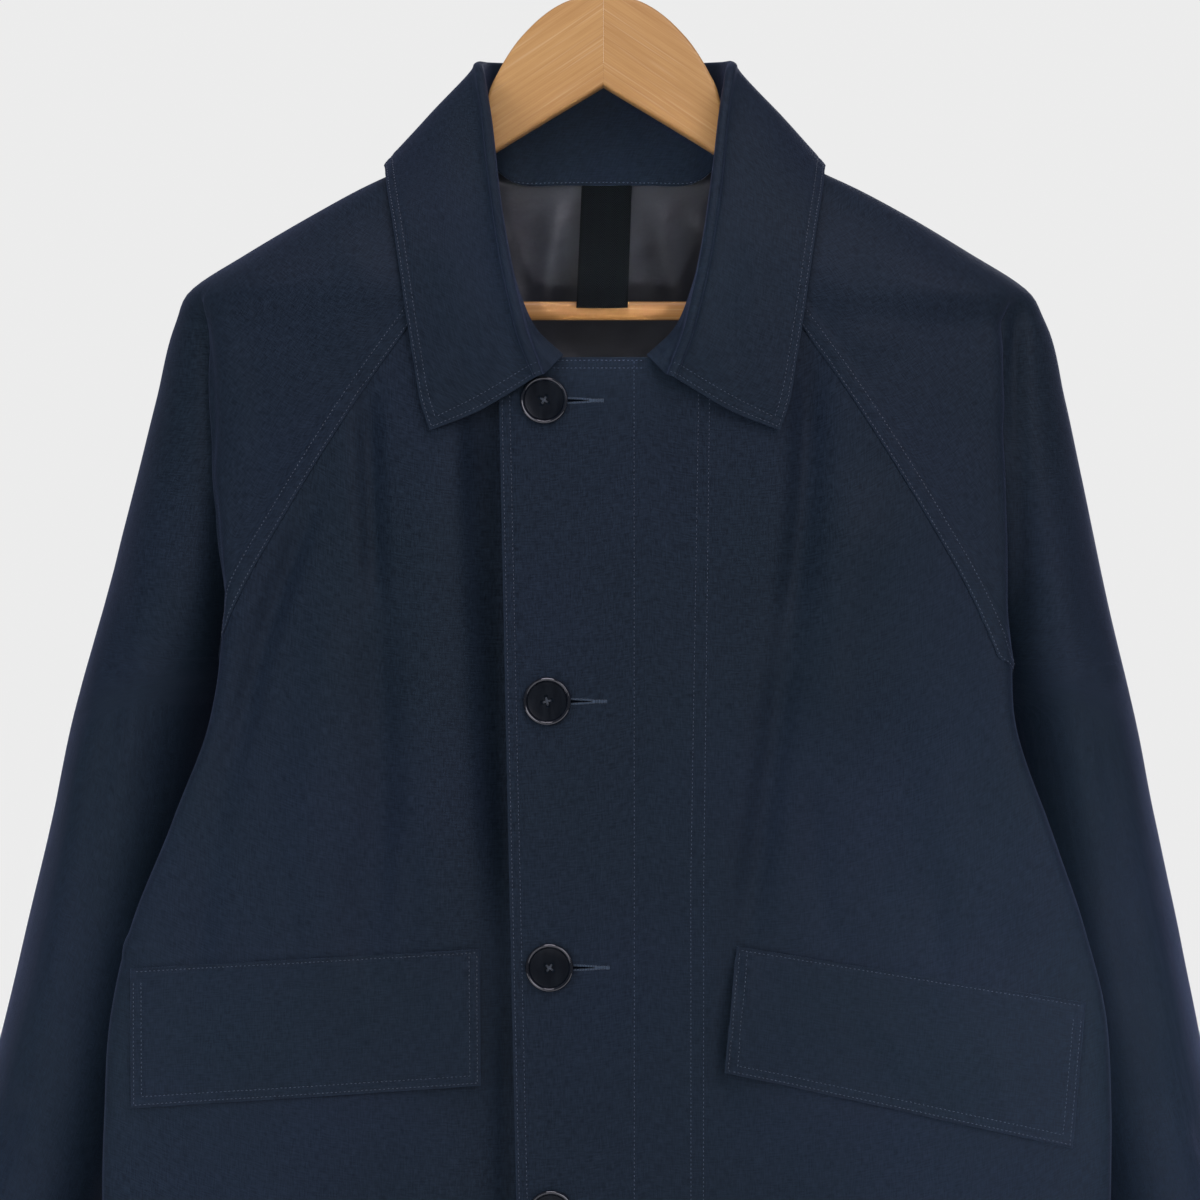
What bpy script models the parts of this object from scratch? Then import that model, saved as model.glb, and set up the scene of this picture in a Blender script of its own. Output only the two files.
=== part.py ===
"""A raglan-sleeved jacket with a turned-down collar and flap pockets, hung on a wooden hanger.

Frame: metres, +Z up, the front faces -Y and the wearer's left is +X. The origin is where the
hanger's hook rests on a rail. The garment is worked out from level sections: every cloth piece is
a grid on one outer surface, whose shape comes from the tables below, and gets its wall inwards.

A section runs round half the garment at one level, from t = 0 at the centre front, over the body's
front edge at EDGE_T, through the tuck or side at TUCK_T, to the outermost line at t = 1, and back
the same way to t = 2 at the centre back. Lengths in the tables are millimetres.
"""

import functools
import math

import bmesh
import bpy
from mathutils import Vector

MM = 0.001

# Cloth and seams.
CLOTH = 1.2
LINING = 1.0
COLLAR_LAYER = 1.0
FLAP_THICK = 1.8
SEAM_GAP = 0.5
LAYER_GAP = 0.4

# Levels that the cut of the jacket turns on.
SHOULDER_Z = -222.0
NECK_FRONT_Z = -260.5
NECK_BACK_Z = -160.3
YOKE_POINT_Z = -184.0
BACK_POINT_Z = -158.0
SEAM_TURN_Z = -416.0
SEAM_TUCK_Z = -441.0
UNDERARM_Z = -452.0
HEM_Z = -878.0
CUFF_Z = -812.0

# The fronts overlap across the middle and each ends this far past it.
OVERLAP = 51.5
# The under front dips this far behind the lapped edge, over this width.
TUCK_IN = 4.5
TUCK_WIDE = 34.0

EDGE_T = 0.6
TUCK_T = 0.7


def table(columns, *rows):
    """Rows of numbers under named columns."""
    names = columns.split()
    return [dict(zip(names, row)) for row in rows]


# Above the shoulder ends a section is one rounded lobe that narrows up to the neck.
YOKE = table(
    "z out_left out_right front back power",
    (-131, 67.0, 66.0, 12.0, 11.0, 6.0),
    (-143, 86.5, 83.0, 16.5, 18.0, 6.5),
    (-158, 111.5, 108.0, 23.0, 33.0, 6.0),
    (-168, 133.0, 129.0, 29.5, 36.5, 5.0),
    (-180, 155.5, 151.0, 35.5, 38.0, 4.6),
    (-203, 194.0, 190.0, 46.5, 39.0, 5.0),
    (-222, 223.5, 219.0, 52.0, 40.0, 6.0),
    (-250, 236.0, 230.5, 57.0, 40.0, 6.0),
)

# The body's own lobe: centre front, front edge, side, shoulder blade and centre back.
BODY = table(
    "z front edge_left edge_right edge_y side_x side_y blade_x blade_y back",
    (-222, -52.0, 206.0, 208.5, -28.0, 188.0, 8.0, 203.0, 27.0, 40.0),
    (-260, -59.0, 207.5, 209.0, -34.0, 188.0, 8.0, 202.0, 30.0, 40.0),
    (-300, -63.0, 208.5, 207.5, -40.0, 188.0, 8.0, 200.0, 32.0, 40.0),
    (-350, -67.0, 210.5, 204.5, -47.0, 188.0, 8.0, 196.0, 34.0, 41.0),
    (-400, -70.0, 211.0, 199.0, -53.0, 188.0, 8.0, 190.0, 36.0, 42.0),
    (-452, -73.0, 213.0, 206.0, -58.0, 188.0, 8.0, 183.0, 37.0, 43.0),
    (-500, -76.0, 229.0, 223.5, -62.0, 187.0, 6.0, 181.0, 38.0, 43.0),
    (-550, -78.0, 246.0, 243.0, -65.0, 195.0, 2.0, 186.0, 39.0, 43.0),
    (-600, -80.0, 258.5, 255.0, -67.0, 205.0, 0.0, 194.0, 40.0, 43.0),
    (-650, -81.0, 261.0, 258.0, -68.0, 213.0, -1.0, 202.0, 41.0, 43.0),
    (-700, -82.0, 260.5, 259.0, -68.0, 219.0, -2.0, 208.0, 41.0, 43.0),
    (-800, -81.0, 261.5, 260.0, -67.0, 227.0, -2.0, 216.0, 41.0, 43.0),
    (-880, -80.0, 262.5, 261.0, -66.0, 231.0, -2.0, 220.0, 41.0, 43.0),
)

# The sleeve's lobe: an ellipse, turned so that its back lies behind the body. Above the underarm
# it is open towards the body between these two angles.
SLEEVE = table(
    "z out_left out_right half_wide half_deep mid_y turn open_front open_back",
    (-222, 223.5, 219.0, 27.0, 27.0, 0.0, 0.0, 290.0, 430.0),
    (-237, 232.5, 226.5, 29.0, 29.0, 1.0, 3.0, 276.0, 440.0),
    (-280, 244.0, 238.0, 35.0, 37.0, 4.0, 8.0, 256.0, 460.0),
    (-322, 253.0, 248.5, 39.0, 46.0, 8.0, 12.0, 240.0, 476.0),
    (-365, 262.0, 259.5, 41.0, 54.0, 12.0, 15.0, 222.0, 494.0),
    (-407, 271.0, 270.5, 40.0, 61.0, 15.0, 16.0, 204.0, 514.0),
    (-452, 281.0, 282.0, 38.5, 66.0, 17.0, 16.0, 185.0, 535.0),
    (-500, 290.5, 294.0, 39.5, 66.0, 18.0, 15.0, 180.0, 540.0),
    (-600, 312.5, 318.5, 41.0, 62.0, 16.0, 13.0, 180.0, 540.0),
    (-700, 334.0, 343.0, 40.0, 56.0, 13.0, 11.0, 180.0, 540.0),
    (-815, 358.5, 371.0, 37.0, 49.0, 10.0, 8.0, 180.0, 540.0),
)
SLEEVE_SLANT = 0.23

# The neckline's half width where the fronts and sleeves end at it.
NECKLINE = table(
    "z half",
    (-131, 69.5),
    (-140, 68.0),
    (-150, 66.0),
    (-170, 60.5),
    (-190, 55.0),
    (-210, 49.0),
    (-230, 43.0),
    (-241, 38.5),
    (-253, 30.0),
    (-260.5, 22.0),
)
BACK_NECK_RISE = 26.0
BACK_NECK_HALF = 69.0

# The raglan seams' half width, from the neckline down to where they turn under the arm.
RAGLAN = table(
    "z front back",
    (-158, 38.0, 49.5),
    (-184, 56.8, 68.0),
    (-251, 106.5, 114.0),
    (-275, 123.5, 130.0),
    (-297, 138.0, 143.0),
    (-320, 152.5, 155.5),
    (-345, 167.5, 168.0),
    (-372, 183.0, 178.0),
    (-399, 196.0, 186.0),
    (-416, 203.0, 190.0),
)

# Levels of the rows that all pieces share, so that neighbours meet along the same line.
UPPER_ROWS = (
    -135.5,
    -141,
    -149,
    BACK_POINT_Z,
    -172,
    YOKE_POINT_Z,
    -203,
    SHOULDER_Z,
    -240,
    NECK_FRONT_Z,
    -290,
    -325,
    -358,
    -388,
    SEAM_TURN_Z,
    -422,
    -429,
    -435,
    SEAM_TUCK_Z,
    UNDERARM_Z,
)
BODY_ROWS = (-478, -512, -556, -606, -660, -735, HEM_Z)
# How the columns of a front and of half the back share their sections.
FRONT_SHARES = (0.0, 0.14, 0.28, 0.42, 0.55, 0.67, 0.78, 0.842, 0.905, 1.0)
BACK_SHARES = (0.0, 0.17, 0.34, 0.51, 0.68, 0.80, 0.857, 1.0)
SLEEVE_ROWS = (-486, -545, -625, -715, CUFF_Z)

# Collar stations from the front end round to the centre back: the seam at the neck, the crest of
# the fold and the leaf's edge. The crest leans forward by `lean` degrees from straight up.
COLLAR = table(
    "seam_x seam_y seam_z fold_x fold_y fold_z lean edge_x edge_y edge_z",
    (21.4, -62.2, -259.3, 34.0, -71.2, -270.5, 75, 90.5, -65.4, -298.5),
    (35.3, -60.2, -246.0, 42.2, -70.6, -249.5, 75, 95.8, -63.6, -282.0),
    (42.8, -57.4, -230.0, 46.8, -67.0, -231.5, 70, 99.2, -60.8, -262.0),
    (48.9, -52.6, -210.0, 51.6, -61.5, -209.0, 58, 102.6, -58.0, -241.0),
    (54.8, -44.6, -190.0, 55.6, -54.0, -184.5, 42, 106.5, -53.2, -215.5),
    (59.6, -33.0, -170.0, 59.0, -42.0, -158.0, 25, 110.8, -42.0, -189.0),
    (62.6, -22.0, -154.0, 62.2, -27.0, -129.0, 10, 114.0, -29.5, -172.5),
    (64.6, -12.5, -138.0, 65.8, -10.0, -107.0, 0, 116.2, -13.5, -159.0),
    (66.4, 2.5, -132.0, 67.2, 6.0, -100.0, 0, 116.6, 3.0, -155.2),
    (62.2, 18.2, -143.5, 62.0, 25.0, -98.0, 0, 108.0, 31.5, -160.0),
    (50.0, 31.0, -156.6, 46.0, 38.0, -97.0, 0, 77.0, 41.5, -174.0),
    (26.0, 33.6, -159.6, 24.0, 41.2, -96.6, 0, 38.0, 41.8, -177.6),
    (0.0, 33.8, -159.9, 0.0, 41.8, -96.6, 0, 0.0, 42.0, -178.5),
)
FOLD_R = 3.0
COLLAR_HALF = 11
COLLAR_STEPS = (0.0, 0.22, 0.42, 0.46, 0.5, 0.54, 0.58, 0.72, 0.86, 1.0)
COLLAR_END_SAG = 2.6

# The flaps' corners, as distance from the middle: the top's two ends, then the bottom's.
FLAPS = {
    "left": ((67.5, -563.5), (247.0, -593.0), (61.5, -627.5), (240.0, -667.5)),
    "right": ((64.0, -565.0), (244.0, -575.5), (63.5, -634.5), (243.5, -647.0)),
}
FLAP_COLUMNS = 10
FLAP_ROWS = 4

# Buttons down the lap.
BUTTONS = table(
    "x z",
    (-31.5, -283.0),
    (-29.8, -438.2),
    (-28.5, -574.5),
    (-27.8, -700.5),
    (-27.5, -820.0),
)
BUTTON_R = 12.4
BUTTON_TALL = 2.8
BUTTON_GAP = 0.3
BUTTON_DISH_R = 8.2
BUTTON_DISH = 1.0
BUTTON_HOLE_R = 1.1
BUTTON_HOLE_AT = 2.5

# The hang loop, a doubled tape sewn at the back neck that comes down in front of the rail.
LOOP_WIDE = 27.0
LOOP_THICK = 1.9
LOOP_TOP = Vector((1.0, 30.8, -163.0))
LOOP_END = Vector((-1.6, -9.8, -231.6))

# The wooden hanger: its crown's top edge, its lower edge, and how far it keeps under the cloth.
WOOD_X = -0.8
WOOD_DEEP = 16.0
WOOD_ROUND = 2.0
WOOD_UNDER = 3.8
CROWN = table(
    "x top",
    (0.0, -66.5),
    (10.0, -67.2),
    (17.5, -68.8),
    (28.5, -74.5),
    (38.5, -83.0),
    (49.0, -95.5),
    (56.0, -107.5),
    (60.6, -117.5),
    (62.2, -123.5),
    (62.6, -136.0),
)
WOOD_LOW = table(
    "x low",
    (0.0, -110.4),
    (57.2, -148.7),
    (90.0, -169.5),
    (150.0, -205.0),
    (195.0, -231.5),
    (211.0, -238.5),
)
WOOD_TIP_X = 215.5
RAIL_TOP_Z = -228.0
RAIL_TALL = 9.6
RAIL_DEEP = 10.0
RAIL_HALF = 189.3
RAIL_Y = 0.0
HOOK_WIRE = 3.6
HOOK_INSIDE = 19.0
HOOK_FOOT_Z = -66.2

LINING_HEM_Z = -853.0
LINING_GAP = 0.9

NAVY = (0.014, 0.021, 0.036)
GREY = (0.045, 0.044, 0.050)
BLACK = (0.008, 0.010, 0.012)
WOOD = (0.50, 0.29, 0.13)
STEEL = (0.62, 0.62, 0.62)


TABLES = {"yoke": YOKE, "body": BODY, "sleeve": SLEEVE, "neckline": NECKLINE, "raglan": RAGLAN}


def slopes(places, values):
    """A smooth curve's slope at each of its points, from its neighbours."""
    steps = [
        (values[i + 1] - values[i]) * (1 / (places[i + 1] - places[i]))
        for i in range(len(places) - 1)
    ]
    found = [steps[0]]
    for i in range(1, len(steps)):
        before, after = places[i] - places[i - 1], places[i + 1] - places[i]
        found.append((steps[i - 1] * after + steps[i] * before) * (1 / (before + after)))
    found.append(steps[-1])
    return found


def smooth(places, values, at):
    """The value at a place on the smooth curve through the values. Places rise."""
    at = min(max(at, places[0]), places[-1])
    i = max(k for k in range(len(places) - 1) if places[k] <= at)
    span = places[i + 1] - places[i]
    s = (at - places[i]) / span
    slope = slopes(places, values)
    rise = values[i + 1] - values[i]
    return (
        values[i]
        + rise * (s * s * (3 - 2 * s))
        + slope[i] * (span * s * (1 - s) ** 2)
        - slope[i + 1] * (span * s * s * (1 - s))
    )


@functools.lru_cache(maxsize=None)
def columns_of(name, rows):
    """A table's column as places down the garment and values."""
    listed = TABLES[rows]
    return tuple(-row["z"] for row in listed), tuple(row[name] for row in listed)


@functools.lru_cache(maxsize=None)
def read(rows, name, z):
    """A column of a table at a level between its rows."""
    places, values = columns_of(name, rows)
    return smooth(places, values, -z)


def ease(s):
    """0 to 1 with level ends."""
    s = min(max(s, 0.0), 1.0)
    return s * s * (3 - 2 * s)


def hand(side):
    return "left" if side > 0 else "right"


def yoke_point(side, z, t):
    """A section above the shoulder ends: a rounded lobe whose tip is the top of the sleeve."""
    out = read("yoke", "out_" + hand(side), z)
    power = read("yoke", "power", z)
    near = t if t <= 1 else 2 - t
    deep = -read("yoke", "front", z) if t <= 1 else read("yoke", "back", z)
    share = 0.93 * near / EDGE_T
    if near > EDGE_T:
        share = 0.93 + 0.07 * math.sin(math.pi / 2 * (near - EDGE_T) / (1 - EDGE_T))
    share = min(share, 1.0)
    return out * share, deep * math.sqrt(max(0.0, 1 - share**power))


def sleeve_lobe(side, z, angle):
    """A point of the sleeve's ellipse at an angle in degrees: 180 is its inner side, 360 its outer."""
    wide, deep = read("sleeve", "half_wide", z), read("sleeve", "half_deep", z)
    turn = math.radians(read("sleeve", "turn", z))
    reach = math.hypot(wide * math.cos(turn), deep * math.sin(turn))
    furthest = math.degrees(math.atan2(-deep * math.sin(turn), wide * math.cos(turn)))
    a = math.radians(angle + furthest)
    across, along = wide * math.cos(a), deep * math.sin(a)
    x = across * math.cos(turn) - along * math.sin(turn)
    y = across * math.sin(turn) + along * math.cos(turn)
    return read("sleeve", "out_" + hand(side), z) - reach + x, read("sleeve", "mid_y", z) + y


def lobe_point(side, z, t):
    """A section below the shoulder ends: the body's lobe, and past the tuck the sleeve's."""
    back = t > 1
    near = 2 - t if back else t
    opening = 540.0 if back else 180.0
    if z >= UNDERARM_Z:
        opening = read("sleeve", "open_back" if back else "open_front", z)
    if near >= TUCK_T:
        share = (near - TUCK_T) / (1 - TUCK_T)
        return sleeve_lobe(side, z, opening + (360 - opening) * share)
    below = ease((UNDERARM_Z - z) / 45)
    tuck = Vector(sleeve_lobe(side, z, opening))
    if z < UNDERARM_Z:
        tuck = Vector(sleeve_lobe(side, UNDERARM_Z, 180)) - Vector((0.8, 0))
        tuck = tuck.lerp(Vector((read("body", "side_x", z), read("body", "side_y", z))), below)
    if back:
        middle = read("body", "back", z)
        edge = Vector((read("body", "blade_x", z), read("body", "blade_y", z)))
        past = Vector((edge.x + 0.3 * (tuck.x - edge.x) * (1 - below), edge.y - 4 - 4 * below))
        half_way = past.lerp(tuck, 0.5)
        before = edge + Vector((-4, 1.2))
    else:
        middle = read("body", "front", z)
        edge = Vector((read("body", "edge_" + hand(side), z), read("body", "edge_y", z) + 2))
        rise = ease((SHOULDER_Z - z) / 60)
        past = edge + Vector((-4 * rise, 1 + 7 * rise))
        half_way = past.lerp(tuck, 0.5) - Vector((9 * rise, 0))
        before = edge + Vector((-3, -5))
    drop = edge.y - middle
    knots = (0.0, 0.30, 0.50, 0.575, EDGE_T, 0.63, 0.665, TUCK_T)
    points = (
        Vector((0.0, middle)),
        Vector((0.50 * edge.x, middle + 0.10 * drop)),
        Vector((0.84 * edge.x, middle + 0.46 * drop)),
        before,
        edge,
        past,
        half_way,
        tuck,
    )
    return tuple(smooth(knots, points, near))


@functools.lru_cache(maxsize=None)
def outline(side, z, t):
    """x and y in millimetres of the outer surface, x counted away from the middle."""
    if z >= SHOULDER_Z:
        return yoke_point(side, z, t)
    share = ease((SHOULDER_Z - z) / 22)
    if share >= 1:
        return lobe_point(side, z, t)
    above, below = yoke_point(side, z, t), lobe_point(side, z, t)
    return tuple(a + (b - a) * share for a, b in zip(above, below))


def surface(side, z, t):
    """A point of the outer surface in millimetres. A t below 0 is across the centre front."""
    if t < 0:
        return surface(-side, z, -t)
    if t > 2:
        return surface(-side, z, 4 - t)
    x, y = outline(side, z, t)
    return Vector((x * side, y, z))


def along(side, z, t, only=0):
    """The surface's direction round a section, as t rises; `only` looks to one side of t."""
    step = 0.004
    first = surface(side, z, t - (step if only <= 0 else 0))
    return (surface(side, z, t + (step if only >= 0 else 0)) - first).normalized()


def facing(side, z, t, only=0):
    """The surface's direction outwards at a point."""
    lift = 1.5
    high = min(z + lift, -131)
    up = surface(side, high, t) - surface(side, high - 2 * lift, t)
    return along(side, z, t, only).cross(up).normalized() * side


def side_facing(side, z):
    """Outwards at the body's side seam below the underarm, the same for front and back."""
    front_out = facing(side, z, TUCK_T - 1e-5, -1)
    back_out = facing(side, z, 2 - TUCK_T + 1e-5, 1)
    return (front_out + back_out).normalized()


def cloth(side, z, t, depth, push=0.0):
    """A point of a cloth wall: that deep inside the outer surface, pushed along the section."""
    if t < 0:
        return cloth(-side, z, -t, depth, -push)
    near = 2 - t if t > 1 else t
    only = 0
    out = None
    if z < UNDERARM_Z and abs(near - TUCK_T) < 1e-4:
        in_body = near < TUCK_T
        only = (-1 if in_body else 1) * (1 if t < 1 else -1)
        if in_body:
            out = side_facing(side, z)
    out = out or facing(side, z, t, only)
    run = along(side, z, t, only)
    run = (run - out * run.dot(out)).normalized()
    return surface(side, z, t) - out * depth + run * push


def t_at(side, z, half, back=False):
    """Where a section is that far from the middle, before the body's edge."""
    reach = EDGE_T if z < SHOULDER_Z else 0.99
    low, high = (2.0, 2.0 - reach) if back else (0.0, reach)
    for _ in range(30):
        mid = (low + high) / 2
        if outline(side, z, mid)[0] < half:
            low = mid
        else:
            high = mid
    return (low + high) / 2


@functools.lru_cache(maxsize=None)
def seam_t(side, z, back=False):
    """The raglan seam, and below the underarm the side seam, on a section."""
    if z > SEAM_TURN_Z:
        return t_at(side, z, read("raglan", "back" if back else "front", z), back)
    start = t_at(side, SEAM_TURN_Z, read("raglan", "back" if back else "front", SEAM_TURN_Z), back)
    share = min(1.0, (SEAM_TURN_Z - z) / (SEAM_TURN_Z - SEAM_TUCK_Z))
    end = 2 - TUCK_T + 1e-5 if back else TUCK_T - 1e-5
    return start + (end - start) * share


@functools.lru_cache(maxsize=None)
def neck_t(side, z, back=False):
    """The neckline on a section above the front neck point."""
    return t_at(side, z, read("neckline", "half", z), back)


def collar_frame(station):
    """The collar's seam, crest, leaf edge and crest directions at a station along the table."""
    places = tuple(range(len(COLLAR)))

    def at(*names):
        return Vector([smooth(places, [row[name] for row in COLLAR], station) for name in names])

    seam = at("seam_x", "seam_y", "seam_z")
    fold = at("fold_x", "fold_y", "fold_z")
    edge = at("edge_x", "edge_y", "edge_z")
    lean = math.radians(at("lean", "lean").x)
    crest = Vector((0, -math.sin(lean), math.cos(lean)))
    step = 0.05
    low, high = max(station - step, 0), min(station + step, places[-1])
    run = Vector(
        [
            smooth(places, [row[name] for row in COLLAR], high)
            - smooth(places, [row[name] for row in COLLAR], low)
            for name in ("fold_x", "fold_y", "fold_z")
        ]
    ).normalized()
    crest = (crest - run * crest.dot(run)).normalized()
    return seam, fold, edge, crest, run.cross(crest).normalized()


def collar_outer(station, v):
    """A point of the collar's visible face: v = 0 at the neck seam, 0.5 on the crest, 1 at the edge."""
    seam, fold, edge, crest, outer = collar_frame(station)
    before = fold - crest * FOLD_R - outer * FOLD_R
    after = fold - crest * FOLD_R + outer * FOLD_R
    sag = COLLAR_END_SAG * max(0.0, 1 - station) ** 2
    stops = (
        (0.0, seam),
        (0.22, seam.lerp(before, 0.5)),
        (0.42, before),
        (0.46, fold - crest * 0.3 * FOLD_R - outer * 0.74 * FOLD_R),
        (0.5, fold),
        (0.54, fold - crest * 0.3 * FOLD_R + outer * 0.74 * FOLD_R),
        (0.58, after),
        (0.79, after.lerp(edge, 0.5) - Vector((0, 0, sag))),
        (1.0, edge),
    )
    return smooth([stop[0] for stop in stops], [stop[1] for stop in stops], v)


def collar_facing(station, v):
    """Outwards from the collar's visible face."""
    last = len(COLLAR) - 1
    step = 0.02
    low, high = max(station - step, 0), station + step
    if station > last - 1e-6:
        run = Vector((-1, 0, 0))
    else:
        run = collar_outer(min(high, last), v) - collar_outer(low, v)
    up = collar_outer(station, min(v + 0.01, 1)) - collar_outer(station, max(v - 0.01, 0))
    return up.cross(run).normalized()


def collar_layer(name, shallow, deep, inset, finish, collection):
    """One layer of the collar: from its left end round the back of the neck to its right end."""
    last = len(COLLAR) - 1
    columns = 2 * COLLAR_HALF

    def place(i, j, inner):
        share = 2 * i / columns
        station = last * min(share, 2 - share)
        v = min(COLLAR_STEPS[j], 1 - inset)
        spot = collar_outer(station, v) - collar_facing(station, v) * (deep if inner else shallow)
        return spot if share <= 1 else Vector((-spot.x, spot.y, spot.z))

    return wall_grid(name, columns, len(COLLAR_STEPS) - 1, place, finish, collection)


def wall_grid(name, columns, rows, place, finish, collection, keep=None):
    """A cloth piece: a grid and its copy, moved onto the two faces of a wall, closed at the edges."""
    bm = bmesh.new()
    bmesh.ops.create_grid(bm, x_segments=columns, y_segments=rows, size=0.5)
    cells = {}
    for vert in bm.verts:
        cells[vert] = (round((vert.co.x + 0.5) * columns), round((vert.co.y + 0.5) * rows))
    if keep:
        gone = [
            face
            for face in bm.faces
            if not keep(min(cells[v][0] for v in face.verts), min(cells[v][1] for v in face.verts))
        ]
        bmesh.ops.delete(bm, geom=gone, context="FACES")
    outer = set(bm.verts)
    bmesh.ops.extrude_face_region(bm, geom=bm.faces[:])
    for vert in bm.verts:
        i = round((vert.co.x + 0.5) * columns)
        j = round((vert.co.y + 0.5) * rows)
        vert.co = place(i, j, vert not in outer) * MM
    bmesh.ops.recalc_face_normals(bm, faces=bm.faces[:])
    mesh = bpy.data.meshes.new(name)
    bm.to_mesh(mesh)
    bm.free()
    mesh.shade_smooth()
    return put(name, mesh, finish, collection)


def material(name, colour, roughness, metallic=0.0):
    """One Principled material."""
    made = bpy.data.materials.new(name)
    made.use_nodes = True
    shader = made.node_tree.nodes["Principled BSDF"]
    shader.inputs["Base Color"].default_value = (*colour, 1)
    shader.inputs["Roughness"].default_value = roughness
    shader.inputs["Metallic"].default_value = metallic
    return made


def put(name, mesh, finish, collection):
    """A mesh as a named object of the model."""
    made = bpy.data.objects.new(name, mesh)
    made.data.materials.append(finish)
    collection.objects.link(made)
    return made


def seam_push(z):
    """Half the gap at a raglan or side seam, wider where the seam turns under the arm."""
    return SEAM_GAP / 2 * (1 + 2.8 * math.exp(-(((z - SEAM_TURN_Z + 8) / 28) ** 2)))


def seam_drop(z):
    """How far the body's edge lies lower, and the sleeve's higher, where the seam runs level."""
    return 0.7 * math.exp(-(((z - SEAM_TURN_Z + 16) / 12) ** 2))


def front(side, finish, collection):
    """A front: from its lapped edge to the raglan and side seams. The right one lies underneath."""
    under = side < 0
    neck_column = 4
    columns = neck_column + len(FRONT_SHARES) - 1
    rows = tuple(reversed(BODY_ROWS)) + tuple(z for z in reversed(UPPER_ROWS) if z <= YOKE_POINT_Z)
    neck_row = rows.index(NECK_FRONT_Z)

    def place(i, j, inner):
        z = rows[j] - (2.5 if j == len(rows) - 1 else 0)
        outer = seam_t(side, z)
        start = neck_t(side, max(z, NECK_FRONT_Z))
        if z <= NECK_FRONT_Z:
            start = t_at(side, z, read("neckline", "half", NECK_FRONT_Z))
        if i >= neck_column:
            t = start + (outer - start) * FRONT_SHARES[i - neck_column]
        else:
            lap = -t_at(-side, z, OVERLAP)
            t = lap + (start - lap) * i / neck_column
        push = -seam_push(z) if i == columns else 0
        spot = cloth(side, z, t, CLOTH if inner else 0, push)
        if i == columns:
            spot.z -= seam_drop(z)
        if under:
            spot.y += tuck_depth(spot.x, z)
        return spot

    def keep(i, j):
        return j < neck_row or i >= neck_column

    name = "front_" + hand(side)
    return wall_grid(name, columns, len(rows) - 1, place, finish, collection, keep)


def tuck_depth(x, z):
    """How far the under front lies behind the outer surface near and under the lap."""
    start = -OVERLAP - TUCK_WIDE
    lap = ease((x - start) / (TUCK_WIDE * 0.8))
    trough = math.exp(-(((x + OVERLAP + 6) / 14) ** 2)) * ease((NECK_FRONT_Z - z) / 60)
    return (CLOTH + LAYER_GAP) * lap + TUCK_IN * trough


def back_neck_z(half):
    """The back neckline: level across, then rising to the shoulder."""
    return NECK_BACK_Z + BACK_NECK_RISE * (min(half, BACK_NECK_HALF) / BACK_NECK_HALF) ** 7


def back_neck_half(z):
    """The back neckline's half width at a level above its lowest line."""
    return BACK_NECK_HALF * (max(z - NECK_BACK_Z, 0.0) / BACK_NECK_RISE) ** (1 / 7)


def back_panel(name, rows, depth, thick, inset, narrow, finish, collection):
    """The back or its lining, in one piece between the raglan and side seams."""

    half_columns = len(BACK_SHARES) - 1

    def place(i, j, inner):
        side = 1 if i >= half_columns else -1
        share = BACK_SHARES[abs(i - half_columns)]
        z = rows[j]
        share *= 1 - narrow * ease((-300 - z) / 60)
        t = 2 - share * (2 - seam_t(side, z, back=True))
        if j == len(rows) - 1:
            z = back_neck_z(outline(side, z, t)[0]) - SEAM_GAP / 2 - inset
            t = 2 - share * (2 - seam_t(side, z, back=True))
        at_seam = i in (0, 2 * half_columns)
        push = (inset or seam_push(z)) if at_seam else 0
        spot = cloth(side, z, t, depth + (thick if inner else 0), push)
        if at_seam:
            spot.z -= seam_drop(z)
        return spot

    return wall_grid(name, 2 * half_columns, len(rows) - 1, place, finish, collection)


def sleeve_t(start, i):
    """Where a sleeve half's columns stand on a section, on its ridge and in its tuck."""
    near = 2 - start if start > 1 else start
    wish = (near, (near + EDGE_T) / 2, EDGE_T, 0.645, TUCK_T, 0.78, 0.86, 0.93, 1.0)[i]
    found = max(wish, near + (1 - near) * 0.06 * i)
    return 2 - found if start > 1 else found


def sleeve(side, behind, finish, collection):
    """Half a raglan sleeve, from the neck to the cuff, between its seam and the line along the top."""
    rows = tuple(reversed(SLEEVE_ROWS)) + tuple(reversed(UPPER_ROWS))
    columns = 8

    def place(i, j, inner):
        z = rows[j]
        if z < UNDERARM_Z:
            start = 2 - TUCK_T - 1e-5 if behind else TUCK_T + 1e-5
        elif behind and z > BACK_POINT_Z:
            start = t_at(side, z, back_neck_half(z), True)
        elif not behind and z >= YOKE_POINT_Z:
            start = neck_t(side, z)
        else:
            start = seam_t(side, z, behind)
        t = sleeve_t(start, i)
        push = {0: seam_push(z), columns: -SEAM_GAP / 2}.get(i, 0) * (-1 if behind else 1)
        spot = cloth(side, z, t, CLOTH if inner else 0, push)
        if i == 0:
            spot.z += seam_drop(z)
        if z < UNDERARM_Z:
            axis = read("sleeve", "out_" + hand(side), z) - read("sleeve", "half_wide", z)
            slant = SLEEVE_SLANT * ease((UNDERARM_Z - z) / 120)
            spot.z += slant * (abs(spot.x) - axis)
        return spot

    name = ("sleeve_back_" if behind else "sleeve_front_") + hand(side)
    return wall_grid(name, columns, len(rows) - 1, place, finish, collection)


def flap(side, finish, collection):
    """A pocket flap lying on its front."""
    top_in, top_out, low_in, low_out = FLAPS[hand(side)]

    def place(i, j, inner):
        across, up = i / FLAP_COLUMNS, j / FLAP_ROWS
        low = Vector(low_in).lerp(Vector(low_out), across)
        high = Vector(top_in).lerp(Vector(top_out), across)
        half, z = low.lerp(high, up)
        t = t_at(side, z, half)
        return cloth(side, z, t, -LAYER_GAP - (0 if inner else FLAP_THICK))

    return wall_grid("flap_" + hand(side), FLAP_COLUMNS, FLAP_ROWS, place, finish, collection)


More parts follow.
